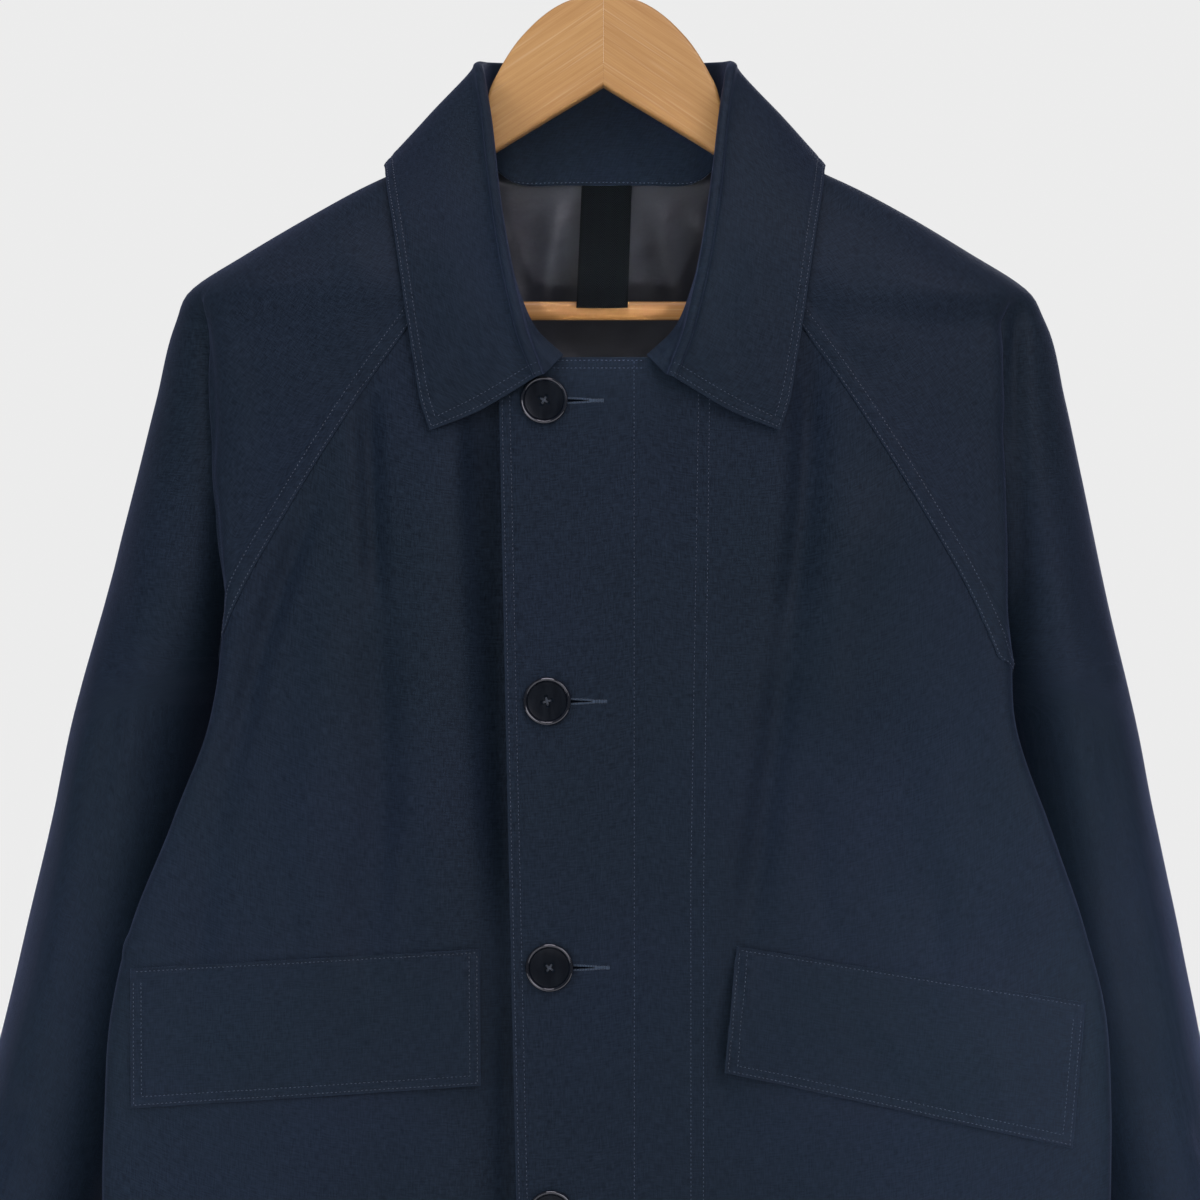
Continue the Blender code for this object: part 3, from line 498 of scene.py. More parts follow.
def yoke_point(side, z, t):
    """A section above the shoulder ends: a rounded lobe whose tip is the top of the sleeve."""
    out = read("yoke", "out_" + hand(side), z)
    power = read("yoke", "power", z)
    near = t if t <= 1 else 2 - t
    deep = -read("yoke", "front", z) if t <= 1 else read("yoke", "back", z)
    share = 0.93 * near / EDGE_T
    if near > EDGE_T:
        share = 0.93 + 0.07 * math.sin(math.pi / 2 * (near - EDGE_T) / (1 - EDGE_T))
    share = min(share, 1.0)
    return out * share, deep * math.sqrt(max(0.0, 1 - share**power))


def sleeve_lobe(side, z, angle):
    """A point of the sleeve's ellipse at an angle in degrees: 180 is its inner side, 360 its outer."""
    wide, deep = read("sleeve", "half_wide", z), read("sleeve", "half_deep", z)
    turn = math.radians(read("sleeve", "turn", z))
    reach = math.hypot(wide * math.cos(turn), deep * math.sin(turn))
    furthest = math.degrees(math.atan2(-deep * math.sin(turn), wide * math.cos(turn)))
    a = math.radians(angle + furthest)
    across, along = wide * math.cos(a), deep * math.sin(a)
    x = across * math.cos(turn) - along * math.sin(turn)
    y = across * math.sin(turn) + along * math.cos(turn)
    return read("sleeve", "out_" + hand(side), z) - reach + x, read("sleeve", "mid_y", z) + y


def lobe_point(side, z, t):
    """A section below the shoulder ends: the body's lobe, and past the tuck the sleeve's."""
    back = t > 1
    near = 2 - t if back else t
    opening = read("sleeve", "open_back" if back else "open_front", z)
    opening += ((540.0 if back else 180.0) - opening) * ease((UNDERARM_Z + 50 - z) / 50)
    if near >= TUCK_T:
        share = (near - TUCK_T) / (1 - TUCK_T)
        return sleeve_lobe(side, z, opening + (360 - opening) * share)
    below = ease((UNDERARM_Z - z) / 45)
    tuck = Vector(sleeve_lobe(side, z, opening))
    if z < UNDERARM_Z:
        tuck = Vector(sleeve_lobe(side, UNDERARM_Z, 180)) - Vector((0.8, 0))
        tuck = tuck.lerp(Vector((read("body", "side_x", z), read("body", "side_y", z))), below)
    if back:
        middle = read("body", "back", z)
        edge = Vector((read("body", "blade_x", z), read("body", "blade_y", z)))
        past = Vector((edge.x + 0.3 * (tuck.x - edge.x) * (1 - below), edge.y - 4 - 4 * below))
        half_way = past.lerp(tuck, 0.5)
        before = edge + Vector((-4, 1.2))
    else:
        middle = read("body", "front", z)
        edge = Vector((read("body", "edge_" + hand(side), z), read("body", "edge_y", z) + 2))
        rise = ease((SHOULDER_Z - z) / 60)
        past = edge + Vector((-4 * rise, 1 + 7 * rise))
        half_way = past.lerp(tuck, 0.5) - Vector((9 * rise, 0))
        before = edge + Vector((-3, -5))
    drop = edge.y - middle
    knots = (0.0, 0.30, 0.50, 0.575, EDGE_T, 0.63, 0.665, TUCK_T)
    points = (
        Vector((0.0, middle)),
        Vector((0.50 * edge.x, middle + 0.10 * drop)),
        Vector((0.84 * edge.x, middle + 0.46 * drop)),
        before,
        edge,
        past,
        half_way,
        tuck,
    )
    return tuple(smooth(knots, points, near))


@functools.lru_cache(maxsize=None)
def outline(side, z, t):
    """x and y in millimetres of the outer surface, x counted away from the middle."""
    if z >= SHOULDER_Z:
        return yoke_point(side, z, t)
    share = ease((SHOULDER_Z - z) / 22)
    if share >= 1:
        return lobe_point(side, z, t)
    above, below = yoke_point(side, z, t), lobe_point(side, z, t)
    return tuple(a + (b - a) * share for a, b in zip(above, below))


def surface(side, z, t):
    """A point of the outer surface in millimetres. A t below 0 is across the centre front."""
    if t < 0:
        return surface(-side, z, -t)
    if t > 2:
        return surface(-side, z, 4 - t)
    x, y = outline(side, z, t)
    return Vector((x * side, y, z))


def along(side, z, t, only=0):
    """The surface's direction round a section, as t rises; `only` looks to one side of t."""
    step = 0.004
    first = surface(side, z, t - (step if only <= 0 else 0))
    return (surface(side, z, t + (step if only >= 0 else 0)) - first).normalized()


def facing(side, z, t, only=0):
    """The surface's direction outwards at a point."""
    lift = 1.5
    high = min(z + lift, TOP_Z)
    up = surface(side, high, t) - surface(side, high - 2 * lift, t)
    return along(side, z, t, only).cross(up).normalized() * side


def side_facing(side, z):
    """Outwards at the body's side seam below the underarm, the same for front and back."""
    front_out = facing(side, z, TUCK_T - 1e-5, -1)
    back_out = facing(side, z, 2 - TUCK_T + 1e-5, 1)
    return (front_out + back_out).normalized()


def cloth(side, z, t, depth, push=0.0):
    """A point of a cloth wall: that deep inside the outer surface, pushed along the section."""
    if t < 0:
        return cloth(-side, z, -t, depth, -push)
    near = 2 - t if t > 1 else t
    only = 0
    out = None
    if z < UNDERARM_Z and abs(near - TUCK_T) < 1e-4:
        in_body = near < TUCK_T
        only = (-1 if in_body else 1) * (1 if t < 1 else -1)
        if in_body:
            out = side_facing(side, z)
    out = out or facing(side, z, t, only)
    run = along(side, z, t, only)
    run = (run - out * run.dot(out)).normalized()
    return surface(side, z, t) - out * depth + run * push


def t_at(side, z, half, back=False):
    """Where a section is that far from the middle, before the body's edge."""
    reach = EDGE_T if z < SHOULDER_Z else 0.99
    low, high = (2.0, 2.0 - reach) if back else (0.0, reach)
    for _ in range(30):
        mid = (low + high) / 2
        if outline(side, z, mid)[0] < half:
            low = mid
        else:
            high = mid
    return (low + high) / 2


@functools.lru_cache(maxsize=None)
def seam_t(side, z, back=False):
    """The raglan seam, and below the underarm the side seam, on a section."""
    if z > SEAM_TURN_Z:
        return t_at(side, z, read("raglan", "back" if back else "front", z), back)
    start = t_at(side, SEAM_TURN_Z, read("raglan", "back" if back else "front", SEAM_TURN_Z), back)
    share = min(1.0, (SEAM_TURN_Z - z) / (SEAM_TURN_Z - SEAM_TUCK_Z))
    end = 2 - TUCK_T + 1e-5 if back else TUCK_T - 1e-5
    return start + (end - start) * share


@functools.lru_cache(maxsize=None)
def neck_t(side, z, back=False):
    """The neckline on a section above the front neck point."""
    return t_at(side, z, read("neckline", "half", z), back)


def collar_read(station, line):
    """A line of the collar's table at a station between its rows: seam, fold, edge or lean."""
    names = ("lean",) if line == "lean" else (line + "_x", line + "_y", line + "_z")
    places = tuple(range(len(COLLAR)))
    return [smooth(places, [row[name] for row in COLLAR], station) for name in names]


@functools.lru_cache(maxsize=None)
def collar_frame(station):
    """The collar's seam, crest, leaf edge and crest directions at a station along the table."""
    seam, fold, edge = (Vector(collar_read(station, line)) for line in ("seam", "fold", "edge"))
    lean = math.radians(collar_read(station, "lean")[0])
    crest = Vector((0, -math.sin(lean), math.cos(lean)))
    step = 0.05
    before = collar_read(max(station - step, 0), "fold")
    after = collar_read(min(station + step, len(COLLAR) - 1), "fold")
    run = Vector([b - a for a, b in zip(before, after)]).normalized()
    crest = (crest - run * crest.dot(run)).normalized()
    return seam, fold, edge, crest, run.cross(crest).normalized()


def collar_outer(station, v):
    """A point of the collar's visible face: v = 0 at the neck seam, 0.5 on the crest, 1 at the edge."""
    seam, fold, edge, crest, outer = collar_frame(station)
    before = fold - crest * FOLD_R - outer * FOLD_R
    after = fold - crest * FOLD_R + outer * FOLD_R
    sag = COLLAR_END_SAG * max(0.0, 1 - station) ** 2
    stops = (
        (0.0, seam),
        (0.22, seam.lerp(before, 0.5)),
        (STAND_V, before),
        (0.46, fold - crest * 0.3 * FOLD_R - outer * 0.74 * FOLD_R),
        (FOLD_V, fold),
        (0.54, fold - crest * 0.3 * FOLD_R + outer * 0.74 * FOLD_R),
        (LEAF_V, after),
        (0.79, after.lerp(edge, 0.5) - Vector((0, 0, sag))),
        (1.0, edge),
    )
    return smooth([stop[0] for stop in stops], [stop[1] for stop in stops], v)


def collar_facing(station, v):
    """Outwards from the collar's visible face."""
    last = len(COLLAR) - 1
    step = 0.02
    low, high = max(station - step, 0), station + step
    if station > last - 1e-6:
        run = Vector((-1, 0, 0))
    else:
        run = collar_outer(min(high, last), v) - collar_outer(low, v)
    up = collar_outer(station, min(v + 0.01, 1)) - collar_outer(station, max(v - 0.01, 0))
    return up.cross(run).normalized()


def seam_push(z):
    """Half the gap at a raglan or side seam, wider where the seam turns under the arm."""
    return SEAM_GAP / 2 * (1 + 0.6 * math.exp(-(((z - SEAM_TURN_Z + 8) / 28) ** 2)))


def seam_drop(z):
    """How far the body's edge lies lower, and the sleeve's higher, where the seam runs level."""
    return 0.7 * math.exp(-(((z - SEAM_TURN_Z + 16) / 12) ** 2))


def lap_reach(z):
    """How far past the middle the lapped edge stands; it leans a little as it falls."""
    return 55.3 + 0.0227 * (z - NECK_FRONT_Z)


def tuck_depth(x, z):
    """How far the under front lies behind the outer surface near and under the lap."""
    edge = -lap_reach(z)
    lap = ease((x - edge + TUCK_WIDE) / (TUCK_WIDE * 0.8))
    trough = math.exp(-(((x - edge + 6) / 14) ** 2)) * ease((NECK_FRONT_Z - z) / 60)
    return (CLOTH + LAYER_GAP) * lap + TUCK_IN * trough


def back_neck_z(half):
    """The back neckline: level across, then rising to the shoulder."""
    return NECK_BACK_Z + BACK_NECK_RISE * (min(half, BACK_NECK_HALF) / BACK_NECK_HALF) ** 7


def back_neck_half(z):
    """The back neckline's half width at a level above its lowest line."""
    return BACK_NECK_HALF * (max(z - NECK_BACK_Z, 0.0) / BACK_NECK_RISE) ** (1 / 7)


def ridge_z(side, half):
    """The top line of the yoke at a distance from the middle."""
    low, high = -260.0, TOP_Z
    for _ in range(40):
        mid = (low + high) / 2
        if read("yoke", "out_" + hand(side), mid) > half:
            low = mid
        else:
            high = mid
    return (low + high) / 2


def lines(length, step, fine=""):
    """Shares of a length for a lattice, close together at its start, its end or both."""
    head = [d for d in EDGE_LINES if d < length / 2] if "start" in fine else [0]
    tail = [length - d for d in EDGE_LINES if d < length / 2] if "end" in fine else [length]
    inner = np.linspace(head[-1], tail[-1], max(2, round((tail[-1] - head[-1]) / step) + 1))
    return np.array(head + list(inner[1:-1]) + tail[::-1]) / length


def levels(*stops, step=3.3, fine=(), close=None):
    """Levels from stop to stop down the garment, close together just past the named ones and all
    the way from the `close` one to the next."""
    found = [stops[0]]
    for top, low in zip(stops, stops[1:]):
        words = ("start " if top in fine else "") + ("end" if -low in fine else "")
        here = 1.0 if top == close else step
        found += [top + (low - top) * share for share in lines(top - low, here, words)[1:]]
    return found


def swell(share):
    """0 to 1 with level ends, for whole lattices."""
    share = np.clip(share, 0, 1)
    return share * share * (3 - 2 * share)


def relief(zone, spots):
    """Millimetres that the creases and the cloth's own unevenness move each point outwards."""
    x, z = spots[..., 0], spots[..., 2]
    move = 0.22 * np.sin(x / 19 + z / 47 + len(zone)) * np.sin(z / 31 - x / 59)
    move += 0.14 * np.sin(x / 8.3 - z / 23) * np.sin(z / 13.7 + x / 37 + len(zone))
    for row in CREASES:
        if row["zone"] not in zone:
            continue
        run = np.array((row["x1"] - row["x0"], row["z1"] - row["z0"]))
        length = np.hypot(*run)
        run = run / length
        share = ((x - row["x0"]) * run[0] + (z - row["z0"]) * run[1]) / length
        across = (z - row["z0"]) * run[0] - (x - row["x0"]) * run[1]
        across = across - row["bow"] * 4 * swell(share) * (1 - swell(share))
        fade = swell(share / 0.3) * swell((1 - share) / 0.3)
        move += row["deep"] * fade * np.exp(-((across / row["wide"]) ** 2))
    return move


def away_from_sides(spots):
    """Each lattice point's distance along the cloth from the lattice's four sides."""
    across = np.cumsum(np.linalg.norm(np.diff(spots, axis=1), axis=2), axis=1)
    down = np.cumsum(np.linalg.norm(np.diff(spots, axis=0), axis=2), axis=0)
    first = np.pad(across, ((0, 0), (1, 0)))
    top = np.pad(down, ((1, 0), (0, 0)))
    return {"first": first, "last": first[:, -1:] - first, "top": top, "low": top[-1:] - top}


def calm(spots, rows, always=(), below=()):
    """The share of its creases a lattice keeps: none where it meets its other half at a fold or,
    below the raglan seam, at a side seam."""
    away = away_from_sides(np.array(spots))
    low = swell((SEAM_TURN_Z - np.array(rows)) / 20)[:, None]
    share = np.ones(away["first"].shape)
    for side in always:
        share *= swell(away[side] / 16)
    for side in below:
        share *= 1 - low * (1 - swell(away[side] / 16))
    return share


def outwards(spots, toward, at=(0.5, 0.5)):
    """Unit directions out of a lattice, turned so that the one at a place looks a given way."""
    out = np.cross(np.gradient(spots, axis=1), np.gradient(spots, axis=0))
    out /= np.maximum(np.linalg.norm(out, axis=2, keepdims=True), 1e-9)
    probe = out[round(at[0] * (len(out) - 1)), round(at[1] * (len(out[0]) - 1))]
    return out * (1 if probe @ np.array(toward) > 0 else -1)


def wall(name, spots, toward, finish, at=(0.5, 0.5), zone=None, free=(), sewn=(), lift=0, **more):
    """A closed cloth wall on a lattice of points, with creases, sewn grooves and rounded edges."""
    thick = more.get("thick", THIN)
    keep = more.get("keep")
    spots = np.array(spots)
    out = outwards(spots, toward, at)
    away = away_from_sides(spots)
    move = np.zeros(spots.shape[:2]) + lift
    if zone:
        move += relief(zone, spots) * more.get("calm", 1)
    for side, distance in sewn:
        ahead = away["top" if side in ("first", "last") else "first"]
        near = np.exp(-(((away[side] - distance) / 1.3) ** 2))
        beside = np.exp(-(((away[side] - distance) / 4) ** 2)) * np.sin(ahead * 0.83 + distance)
        move += PUCKER * beside * np.sin(ahead * 0.21) - GROOVE * near
    edge = np.zeros_like(move)
    for side in free:
        edge = np.maximum(edge, np.exp(-((away[side] / EDGE_REACH) ** 2)))
    rounding = EDGE_THINNING * thick * edge
    faces = (
        spots + out * (move - rounding)[..., None],
        spots + out * (move - thick + rounding)[..., None],
    )
    # A paler band along free edges and seams: partly scuffing of the cloth, partly a painted highlight
    # where those edges catch the light.
    edge_scuff_and_highlight_mask = np.maximum.reduce([np.exp(-away[side] / 1.2) for side in free]) if free else edge
    rows, columns = spots.shape[0] - 1, spots.shape[1] - 1

    def cell(spot, kind=round):
        """The column and row of a grid's point, or with int of a face's middle."""
        return kind((spot.x + 0.5) * columns), kind((0.5 - spot.y) * rows)

    bm = bmesh.new()
    bmesh.ops.create_grid(bm, x_segments=columns, y_segments=rows, size=0.5)
    weave = bm.verts.layers.float_vector.new("weave")
    edge_scuff_and_highlight = bm.verts.layers.float.new("edge_scuff_and_highlight")
    for vert in bm.verts:
        i, j = cell(vert.co)
        vert[weave] = (away["first"][j, i] * MM, away["top"][j, i] * MM, 0)
        vert[edge_scuff_and_highlight] = edge_scuff_and_highlight_mask[j, i]
    if keep:
        gone = [face for face in bm.faces if not keep(*cell(face.calc_center_median(), int))]
        bmesh.ops.delete(bm, geom=gone, context="FACES")
    outer = set(bm.verts)
    bmesh.ops.extrude_face_region(bm, geom=bm.faces[:])
    for vert in bm.verts:
        i, j = cell(vert.co)
        vert.co = faces[0 if vert in outer else 1][j, i] * MM
    bmesh.ops.recalc_face_normals(bm, faces=bm.faces[:])
    area = sum(face.calc_area() for face in bm.faces if all(v in outer for v in face.verts))
    SHELLS[name] = BVHTree.FromBMesh(bm)
    made = finished(name, bm, finish, more.get("replaces", ()))
    flat = (away["first"].max() * MM, away["top"].max() * MM)
    area = min(area, flat[0] * flat[1])
    return made


def finished(name, bm, finish, replaces=()):
    """A bmesh as a piece that rides with the object and stands for its CAD nodes."""
    mesh = bpy.data.meshes.new(name)
    bm.to_mesh(mesh)
    bm.free()
    mesh.shade_smooth()
    made = bpy.data.objects.new(name, mesh)
    bpy.context.scene.collection.objects.link(made)
    for one in finish if isinstance(finish, (list, tuple)) else [finish]:
        mesh.materials.append(one)
    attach(made, "root")
    if replaces:
        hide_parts(*replaces)
    return made


def lapped(z):
    """How far a body piece reaches past its seam, under the sleeve; just short of it below."""
    return SEAM_UNDER - (SEAM_UNDER + 0.15) * ease((SEAM_TURN_Z + 1 - z) / 14)


def front_cloth(side, finish):
    """A front, from its lapped edge to the raglan and side seams."""
    lap_lines = lines(OVERLAP + FRONT_NECK_X, 2.3, "start")
    body_lines = lines(FRONT_WIDE, 3.1, "end")
    stops = (YOKE_POINT_Z - 2.5, NECK_FRONT_Z, SEAM_TURN_Z, UNDERARM_Z, HEM_Z)
    rows = levels(*stops, fine=(NECK_FRONT_Z, -HEM_Z), close=SEAM_TURN_Z)
    neck_row = rows.index(NECK_FRONT_Z)
    neck_column = len(lap_lines) - 1

    def place(z):
        outer = seam_t(side, z)
        start = neck_t(side, z) if z > NECK_FRONT_Z else t_at(side, z, FRONT_NECK_X)
        lap = -t_at(-side, z, lap_reach(z))
        row = [surface(side, z, lap + (start - lap) * share) for share in lap_lines[:-1]]
        row += [surface(side, z, start + (outer - start) * share) for share in body_lines[:-1]]
        under = ease((UNDERARM_Z - 6 - z) / 16)
        edge = cloth(side, z, outer, SIDE_UNDER.x * under, lapped(z) + SIDE_UNDER.y * under)
        row.append(edge - Vector((0, 0, seam_drop(z))))
        if side < 0:
            for spot in row:
                spot.y += tuck_depth(spot.x, z)
        return row

    name = "front_" + hand(side)
    spots = [place(z) for z in rows]
    return wall(
        "cloth_" + name,
        spots,
        (0, -1, 0),
        finish,
        zone="front under" if side < 0 else "front",
        calm=calm(spots, rows, below=("last",)),
        free=("first", "low"),
        sewn=(("first", EDGE_ROW), ("first", TOP_ROW), ("low", HEM_ROW)),
        keep=lambda i, j: j >= neck_row or i >= neck_column,
        replaces=[name],
        rests_on=["collar_upper"],
    )


def back_cloth(name, rows, depth, inset, narrow, finish, zone, **more):
    """The back or its lining, in one piece between the raglan and side seams."""
    half = lines(BACK_HALF, 3.6, "" if inset else "end")
    shares = [(-1, s) for s in half[::-1]] + [(1, s) for s in half[1:]]

    def spot(side, share, z, top):
        slim = ease((LINING_MID_Z - z) / 60) - ease((z - LINING_MID_Z - 50) / 50)
        kept = share * (1 - narrow * slim)
        t = 2 - kept * (2 - seam_t(side, z, True))
        if top:
            z = back_neck_z(outline(side, z, t)[0]) - SEAM_GAP / 2 - inset
            t = 2 - kept * (2 - seam_t(side, z, True))
        edge = share == 1
        push = (inset or -lapped(z)) if edge else 0
        found = cloth(side, z, t, depth, push)
        return found - Vector((0, 0, seam_drop(z))) if edge else found

    spots = [[spot(side, share, z, z == rows[0]) for side, share in shares] for z in rows]
    more["calm"] = calm(spots, rows, below=("first", "last"))
    if "lift" in more:
        more["lift"] = more["lift"] * swell(away_from_sides(np.array(spots))["top"] / 14)
    return wall("cloth_" + name, spots, (0, 1, 0), finish, zone=zone, replaces=[name], **more)


def sleeve_lines():
    """Where a sleeve half's lattice lines stand, from its seam over the fold to its top line."""
    from_seam = [EDGE_T * share for share in lines(SLEEVE_TO_EDGE, 3.6, "start")]
    over_fold = [EDGE_T + (TUCK_T - EDGE_T) * k / 9 for k in range(1, 9)]
    to_top = [TUCK_T + (1 - TUCK_T) * k / 15 for k in range(16)]
    return from_seam + over_fold + to_top


def sleeve_cloth(side, behind, finish):
    """Half a raglan sleeve, from the neck to the cuff."""
    wish = sleeve_lines()
    count = len(wish) - 1
    stops = (SLEEVE_TOP_Z, SEAM_TURN_Z, UNDERARM_Z, CUFF_Z)
    rows = levels(*stops, fine=(-CUFF_Z,), close=SEAM_TURN_Z)
    sign = -1 if behind else 1

    def place(z):
        if z < UNDERARM_Z:
            start = TUCK_T + 1e-5
        elif behind and z > BACK_POINT_Z:
            start = 2 - t_at(side, z, back_neck_half(z), True)
        elif not behind and z >= YOKE_POINT_Z:
            start = neck_t(side, z)
        else:
            start = seam_t(side, z, behind)
            start = 2 - start if behind else start
        even = ease((-412 - z) / 40)
        gap = 0.15 + seam_push(z) * even
        gap -= (gap + SLEEVE_LAP) * ease((UNDERARM_Z - z) / 24)
        row = []
        for i, stop in enumerate(wish):
            shift = start * (1 - min(1.0, stop / EDGE_T))
            near = max(stop + shift, start + (1 - start) * 0.004 * i)
            near += (start + (1 - start) * i / count - near) * even
            t = 2 - near if behind else near
            push = {0: gap, count: -0.2}.get(i, 0) * sign
            spot = cloth(side, z, t, 0, push) if push else surface(side, z, t)
            if i == 0:
                spot.z += seam_drop(z)
            if z < UNDERARM_Z:
                axis = read("sleeve", "out_" + hand(side), z) - read("sleeve", "half_wide", z)
                slant = SLEEVE_SLANT * ease((UNDERARM_Z - z) / 120)
                spot.z += slant * (abs(spot.x) - axis)
            row.append(spot)
        return row

    spots = np.array([place(z) for z in rows])
    from_seam = away_from_sides(spots)["first"]
    high = 1 - swell((SEAM_TURN_Z - 1 - np.array(rows)) / 14)
    lift = SEAM_STEP * high[:, None] * (1 - swell((from_seam - RAGLAN_ROW) / 4))
    name = ("sleeve_back_" if behind else "sleeve_front_") + hand(side)
    return wall(
        "cloth_" + name,
        spots,
        (0, -sign, 0),
        finish,
        at=(0.15, 0.4),
        zone="back" if behind else "front",
        calm=calm(spots, rows, ("last",), ("first",)),
        free=("first", "low"),
        sewn=(("first", EDGE_ROW), ("first", RAGLAN_ROW), ("low", HEM_ROW)),
        lift=lift,
        replaces=[name],
        rests_on=["hanger_arm_" + hand(side)],
    )


def neck_band(station):
    """How far the collar's inner band reaches inwards and down past the back neck seam."""
    places, reaches = zip(*((row["station"], (row["in_"], row["down"])) for row in BAND))
    return smooth(places, [Vector(reach) for reach in reaches], station)


def collar_cloth(name, depth, inset, step, finish, sewn):
    """One layer of the collar, from its left end round the back of the neck to its right end."""
    last = len(COLLAR) - 1
    ends = lines(COLLAR_HALF, step, "start")
    stations = [(1, last * s) for s in ends] + [(-1, last * s) for s in ends[-2::-1]]
    stand = [STAND_V * s for s in lines(STAND_TALL, step, "start")]
    crest = [STAND_V + (LEAF_V - STAND_V) * k / 12 for k in range(1, 12)]
    leaf = [LEAF_V + (1 - LEAF_V - inset) * s for s in lines(LEAF_TALL, step, "end")]

    def spot(hand_side, station, v):
        found = collar_outer(station, v)
        if depth:
            found = found - collar_facing(station, v) * depth
        elif v < STAND_V:
            reach = neck_band(station) * (1 - v / STAND_V)
            flat = Vector((found.x, found.y - 2, 0)).normalized()
            found = found - flat * reach.x - Vector((0, 0, reach.y))
        return Vector((found.x * hand_side, found.y, found.z))

    spots = [[spot(*pair, v) for pair in stations] for v in stand + crest + leaf]
    return wall(
        "cloth_" + name,
        spots,
        (0, 1, 0),
        finish,
        at=(0.85, 0.5),
        zone="collar",
        free=("first", "last", "low"),
        sewn=sewn,
        replaces=[name],
        rests_on=["back"],
    )


def lies_on(shell, x, z):
    """The point and outward direction of a shell seen from the front at a place, in millimetres."""
    spot, out, _, _ = SHELLS[shell].ray_cast(Vector((x, -300, z)) * MM, Vector((0, 1, 0)))
    return spot / MM, out if out.y < 0 else -out


def flap_spot(side, across, down, above=0.0):
    """A place on a pocket flap as shares from its inner top corner, moved out from the front."""
    top_in, top_out, low_in, low_out = (Vector(corner) for corner in FLAPS[hand(side)])
    half, z = top_in.lerp(top_out, across).lerp(low_in.lerp(low_out, across), down)
    spot, _ = lies_on("cloth_front_" + hand(side), half * side, z)
    loose = FLAP_LIFT[hand(side)]
    corner = max(0.0, 1 - across * 4.5) ** 2 * (0.25 + 0.75 * ease(down * 1.6))
    hem = ease(down) * (0.5 + 0.5 * math.sin(across * 17 + side * 2) * (1 - across))
    return spot - Vector((0, LAYER_GAP + FLAP_THICK * 0.75 + loose * corner + 0.7 * hem + above, 0))


def flap_cloth(side, finish):
    """A pocket flap lying on its front."""
    across = lines(FLAP_WIDE, 2.6, "start end")
    down = lines(FLAP_TALL, 2.4, "start end")
    name = "flap_" + hand(side)
    return wall(
        "cloth_" + name,
        [[flap_spot(side, a, d) for a in across] for d in down],
        (0, -1, 0),
        finish,
        zone="flap",
        lift=0.4,
        free=("first", "last", "low"),
        sewn=(
            ("top", EDGE_ROW),
            ("first", EDGE_ROW),
            ("first", TOP_ROW),
            ("last", TOP_ROW),
            ("low", TOP_ROW),
        ),
        thick=FLAP_THIN,
        replaces=[name],
        rests_on=["front_" + hand(side)],
    )


def loop_cloth(finish):
    """The doubled tape sewn at the back neck, in front of the rail."""
    run = (LOOP_END - LOOP_TOP).normalized()
    thin = Vector((1, 0, 0)).cross(run).normalized()
    across = lines(LOOP_WIDE, 1.2, "start end")
    down = lines((LOOP_END - LOOP_TOP).length, 1.6, "start end")

    def spot(a, d):
        sway = 0.5 * math.sin(5 * d) * math.sin(3 * a)
        bend = thin * (-LOOP_THICK / 2 - sway)
        return LOOP_TOP.lerp(LOOP_END, d) + Vector((LOOP_WIDE * (a - 0.5), 0, 0)) + bend

    spots = [[spot(a, d) for a in across] for d in down]
    return wall(
        "tape_loop",
        spots,
        (0, -1, 0),
        finish,
        free=("first", "last", "low"),
        thick=LOOP_THICK,
        replaces=["hang_loop"],
        rests_on=["back_lining"],
    )


def evenly(points, pitch):
    """Places a pitch apart along a line of points, with the direction there."""
    points = [Vector(p) for p in points]
    found = []
    ahead = pitch / 2
    for here, there in zip(points, points[1:]):
        gap = (there - here).length
        while ahead < gap:
            found.append((here.lerp(there, ahead / gap), (there - here).normalized()))
            ahead += pitch
        ahead -= gap
    return found


def sew(bm, shell, points, pitch=PITCH, long=STITCH, wide=THREAD, crosswise=False):
    """A row of stitches lying on a shell along points in millimetres."""
    row = bmesh.new()
    for k, (spot, run) in enumerate(evenly(points, pitch)):
        place, out, _, far = SHELLS[shell].find_nearest(spot * MM)
        if far > SEW_REACH * MM:
            continue
        near = (spot - place / MM).dot(out)
        out = -out if near < 0 and far > 0.9 * MM else out
        run = (run - out * run.dot(out)).normalized()
        side = out.cross(run)
        if crosswise:
            run, side = side, run
        place = place + (out * 0.3 * wide + side * 0.05 * math.sin(k * 2.4)) * MM
        turn = Matrix((side, out, run)).transposed().to_4x4()
        size = Matrix.Diagonal((wide / 2, wide * 0.42, long / 2, 1 / MM)) * MM
        bmesh.ops.create_uvsphere(
            row,
            u_segments=6,
            v_segments=3,
            radius=1,
            matrix=Matrix.Translation(place) @ turn @ size,
        )
    mesh = bpy.data.meshes.new("row")
    row.to_mesh(mesh)
    row.free()
    bm.from_mesh(mesh)
    bpy.data.meshes.remove(mesh)


def down_front(x_top, x_low, top, low):
    """Points down the front between two levels, straight as seen from ahead."""
    count = 60
    spots = []
    for k in range(count + 1):
        share = k / count
        x, z = x_top + (x_low - x_top) * share, top + (low - top) * share
        spots.append(lies_on("cloth_front_left", x, z)[0])
    return spots


